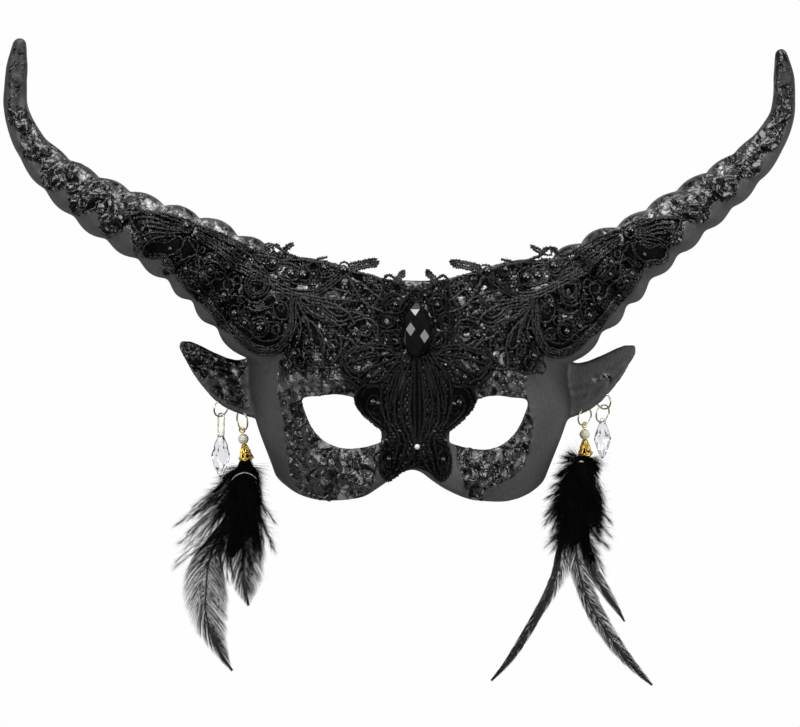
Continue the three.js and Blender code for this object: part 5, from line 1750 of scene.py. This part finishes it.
# Down each shaft: where it runs, and how far the barbs reach to either side of it.
FEATHERS = {
    "left_long_plume": [
        (-75.4, -46, 0.4, 0.4), (-81, -66, 0.5, 0.5), (-86.4, -79, 1.5, 1), (-90, -88, 5.4, 3.6),
        (-91.6, -95, 9.4, 7), (-92.2, -105, 11, 9.8), (-92.3, -114, 9, 10.2), (-90.4, -122.4, 6.6, 8.6),
        (-87.2, -130, 4, 5.4), (-83, -137.4, 1.8, 2.2), (-79.7, -142.3, 0.5, 0.5),
    ],
    "left_short_plume": [
        (-74, -46, 0.4, 0.4), (-75, -68, 0.5, 0.5), (-75.4, -79, 7, 7.5), (-75.2, -89, 8.4, 10),
        (-74.6, -98, 6.8, 9), (-73.8, -105, 4.6, 6), (-72.6, -112.2, 0.5, 0.5),
    ],
    "right_hackle_left": [
        (82.3, -43, 0.4, 0.4), (76, -66, 0.5, 0.5), (73, -80.8, 2.4, 5), (72, -92, 2.6, 6.4),
        (68.4, -103, 2.6, 4), (62.8, -114.1, 2.5, 2.4), (55.2, -127.1, 2.2, 2.2), (48.6, -137.2, 1.6, 1.7),
        (40.6, -146.5, 0.5, 0.5),
    ],
    "right_hackle_long": [
        (83.6, -43, 0.4, 0.4), (80, -66, 0.5, 0.5), (79.6, -81.7, 4, 4.4), (81.2, -94.7, 4.6, 5.4),
        (83.8, -104, 3.8, 5.4), (88.6, -114.1, 4, 4.6), (95, -124.3, 4, 4.2), (101.6, -133.5, 3, 3.4),
        (108.6, -141, 2, 2.2), (116.2, -148.3, 0.5, 0.5),
    ],
    "right_hackle_short": [
        (84.9, -43, 0.4, 0.4), (84, -66, 0.5, 0.5), (84.4, -85, 2.4, 2.6), (89, -97.5, 2.6, 3.2),
        (95.2, -107, 2.2, 2.8), (103, -118.7, 0.4, 0.4),
    ],
}

VANE = ((0.003, 0.003, 0.003), (0.022, 0.021, 0.02))
vane, shader, _ = mottled(
    "grey_vane", 500, VANE, (0.38, 0.68), (0.4, 0.65), "Value", finish=(0.55, 0.0), stretch=3
)
shader.inputs["Specular IOR Level"].default_value = 0.2


def feather(node, stations, spacing, width, run, seed):
    """A shaft with barbs of given spacing and width, each running forward along the shaft by run."""
    draw = np.random.default_rng(seed)
    line, _, gone = flowing_line(stations, 0.5)
    shaft = np.column_stack([line[:, :2], np.full(len(line), FEATHER_HEIGHT)])
    t = gone / gone[-1]
    shaft[:, 2] += 0.5 * np.sin(math.pi * t)
    forward = np.gradient(shaft, axis=0)
    forward /= np.linalg.norm(forward, axis=1, keepdims=True)
    across = np.column_stack([forward[:, 1], -forward[:, 0], np.zeros(len(line))])
    thick = 0.5 * (1 - t) ** 0.7 + 0.08
    parts = [tube(shaft, upright(len(line)), thick, sides=6)]
    first = gone[np.argmax(np.maximum(line[:, 2], line[:, 3]) > 0.6)]
    for way, column in ((1, 2), (-1, 3)):
        root = np.arange(first - 2, gone[-1] - 0.4, spacing)
        root = root + draw.uniform(-0.3, 0.3, len(root)) * spacing
        # Neighbours cling together and leave splits between locks.
        lock = np.floor(root / draw.uniform(2.2, 3.4) + 0.35 * np.sin(root * 1.7))
        shift = (np.sin(lock * 12.9898 + seed) * 43758.5453) % 1
        ahead = run * (0.85 + 0.25 * shift) + draw.normal(0, 0.05 * run, len(root))
        tip = np.clip(root + ahead, 0, gone[-1])
        reach = np.interp(tip, gone, line[:, column]) * (0.94 + 0.12 * shift)
        reach = reach * draw.uniform(0.9, 1.05, len(root))
        reach = np.where(draw.random(len(root)) < 0.04, reach * 1.12, reach)

        def along(distance, sideways, lift=0.0):
            at = np.column_stack([np.interp(distance, gone, shaft[:, axis]) for axis in range(3)])
            out = np.column_stack([np.interp(distance, gone, across[:, axis]) for axis in range(3)])
            return at + way * out * sideways[:, None] + np.array((0, 0, 1.0)) * lift

        start = along(root, np.zeros(len(root)))
        middle = along(root + 0.36 * (tip - root), reach * 0.62, 0.35)
        end = along(tip, reach, draw.normal(0, 0.12, (len(root), 1)))
        end[:, 2] = np.clip(end[:, 2], 0.3, 4)
        widths = width * draw.uniform(0.7, 1.25, len(root))
        parts.append(barbs(start, middle, end, widths, draw.normal(0, 0.25, len(root))))
    points, triangles = gathered(parts)
    piece = new_piece(node + "_barbs", set_in_place(points), triangles, vane)
    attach(piece, "root")
    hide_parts(node)


feather("left_long_plume", FEATHERS["left_long_plume"], 0.065, 0.074, 16, 3)
feather("left_short_plume", FEATHERS["left_short_plume"], 0.055, 0.08, 13, 4)
feather("right_hackle_left", FEATHERS["right_hackle_left"], 0.13, 0.12, 11, 5)
feather("right_hackle_long", FEATHERS["right_hackle_long"], 0.13, 0.12, 11, 6)
feather("right_hackle_short", FEATHERS["right_hackle_short"], 0.13, 0.12, 9, 9)
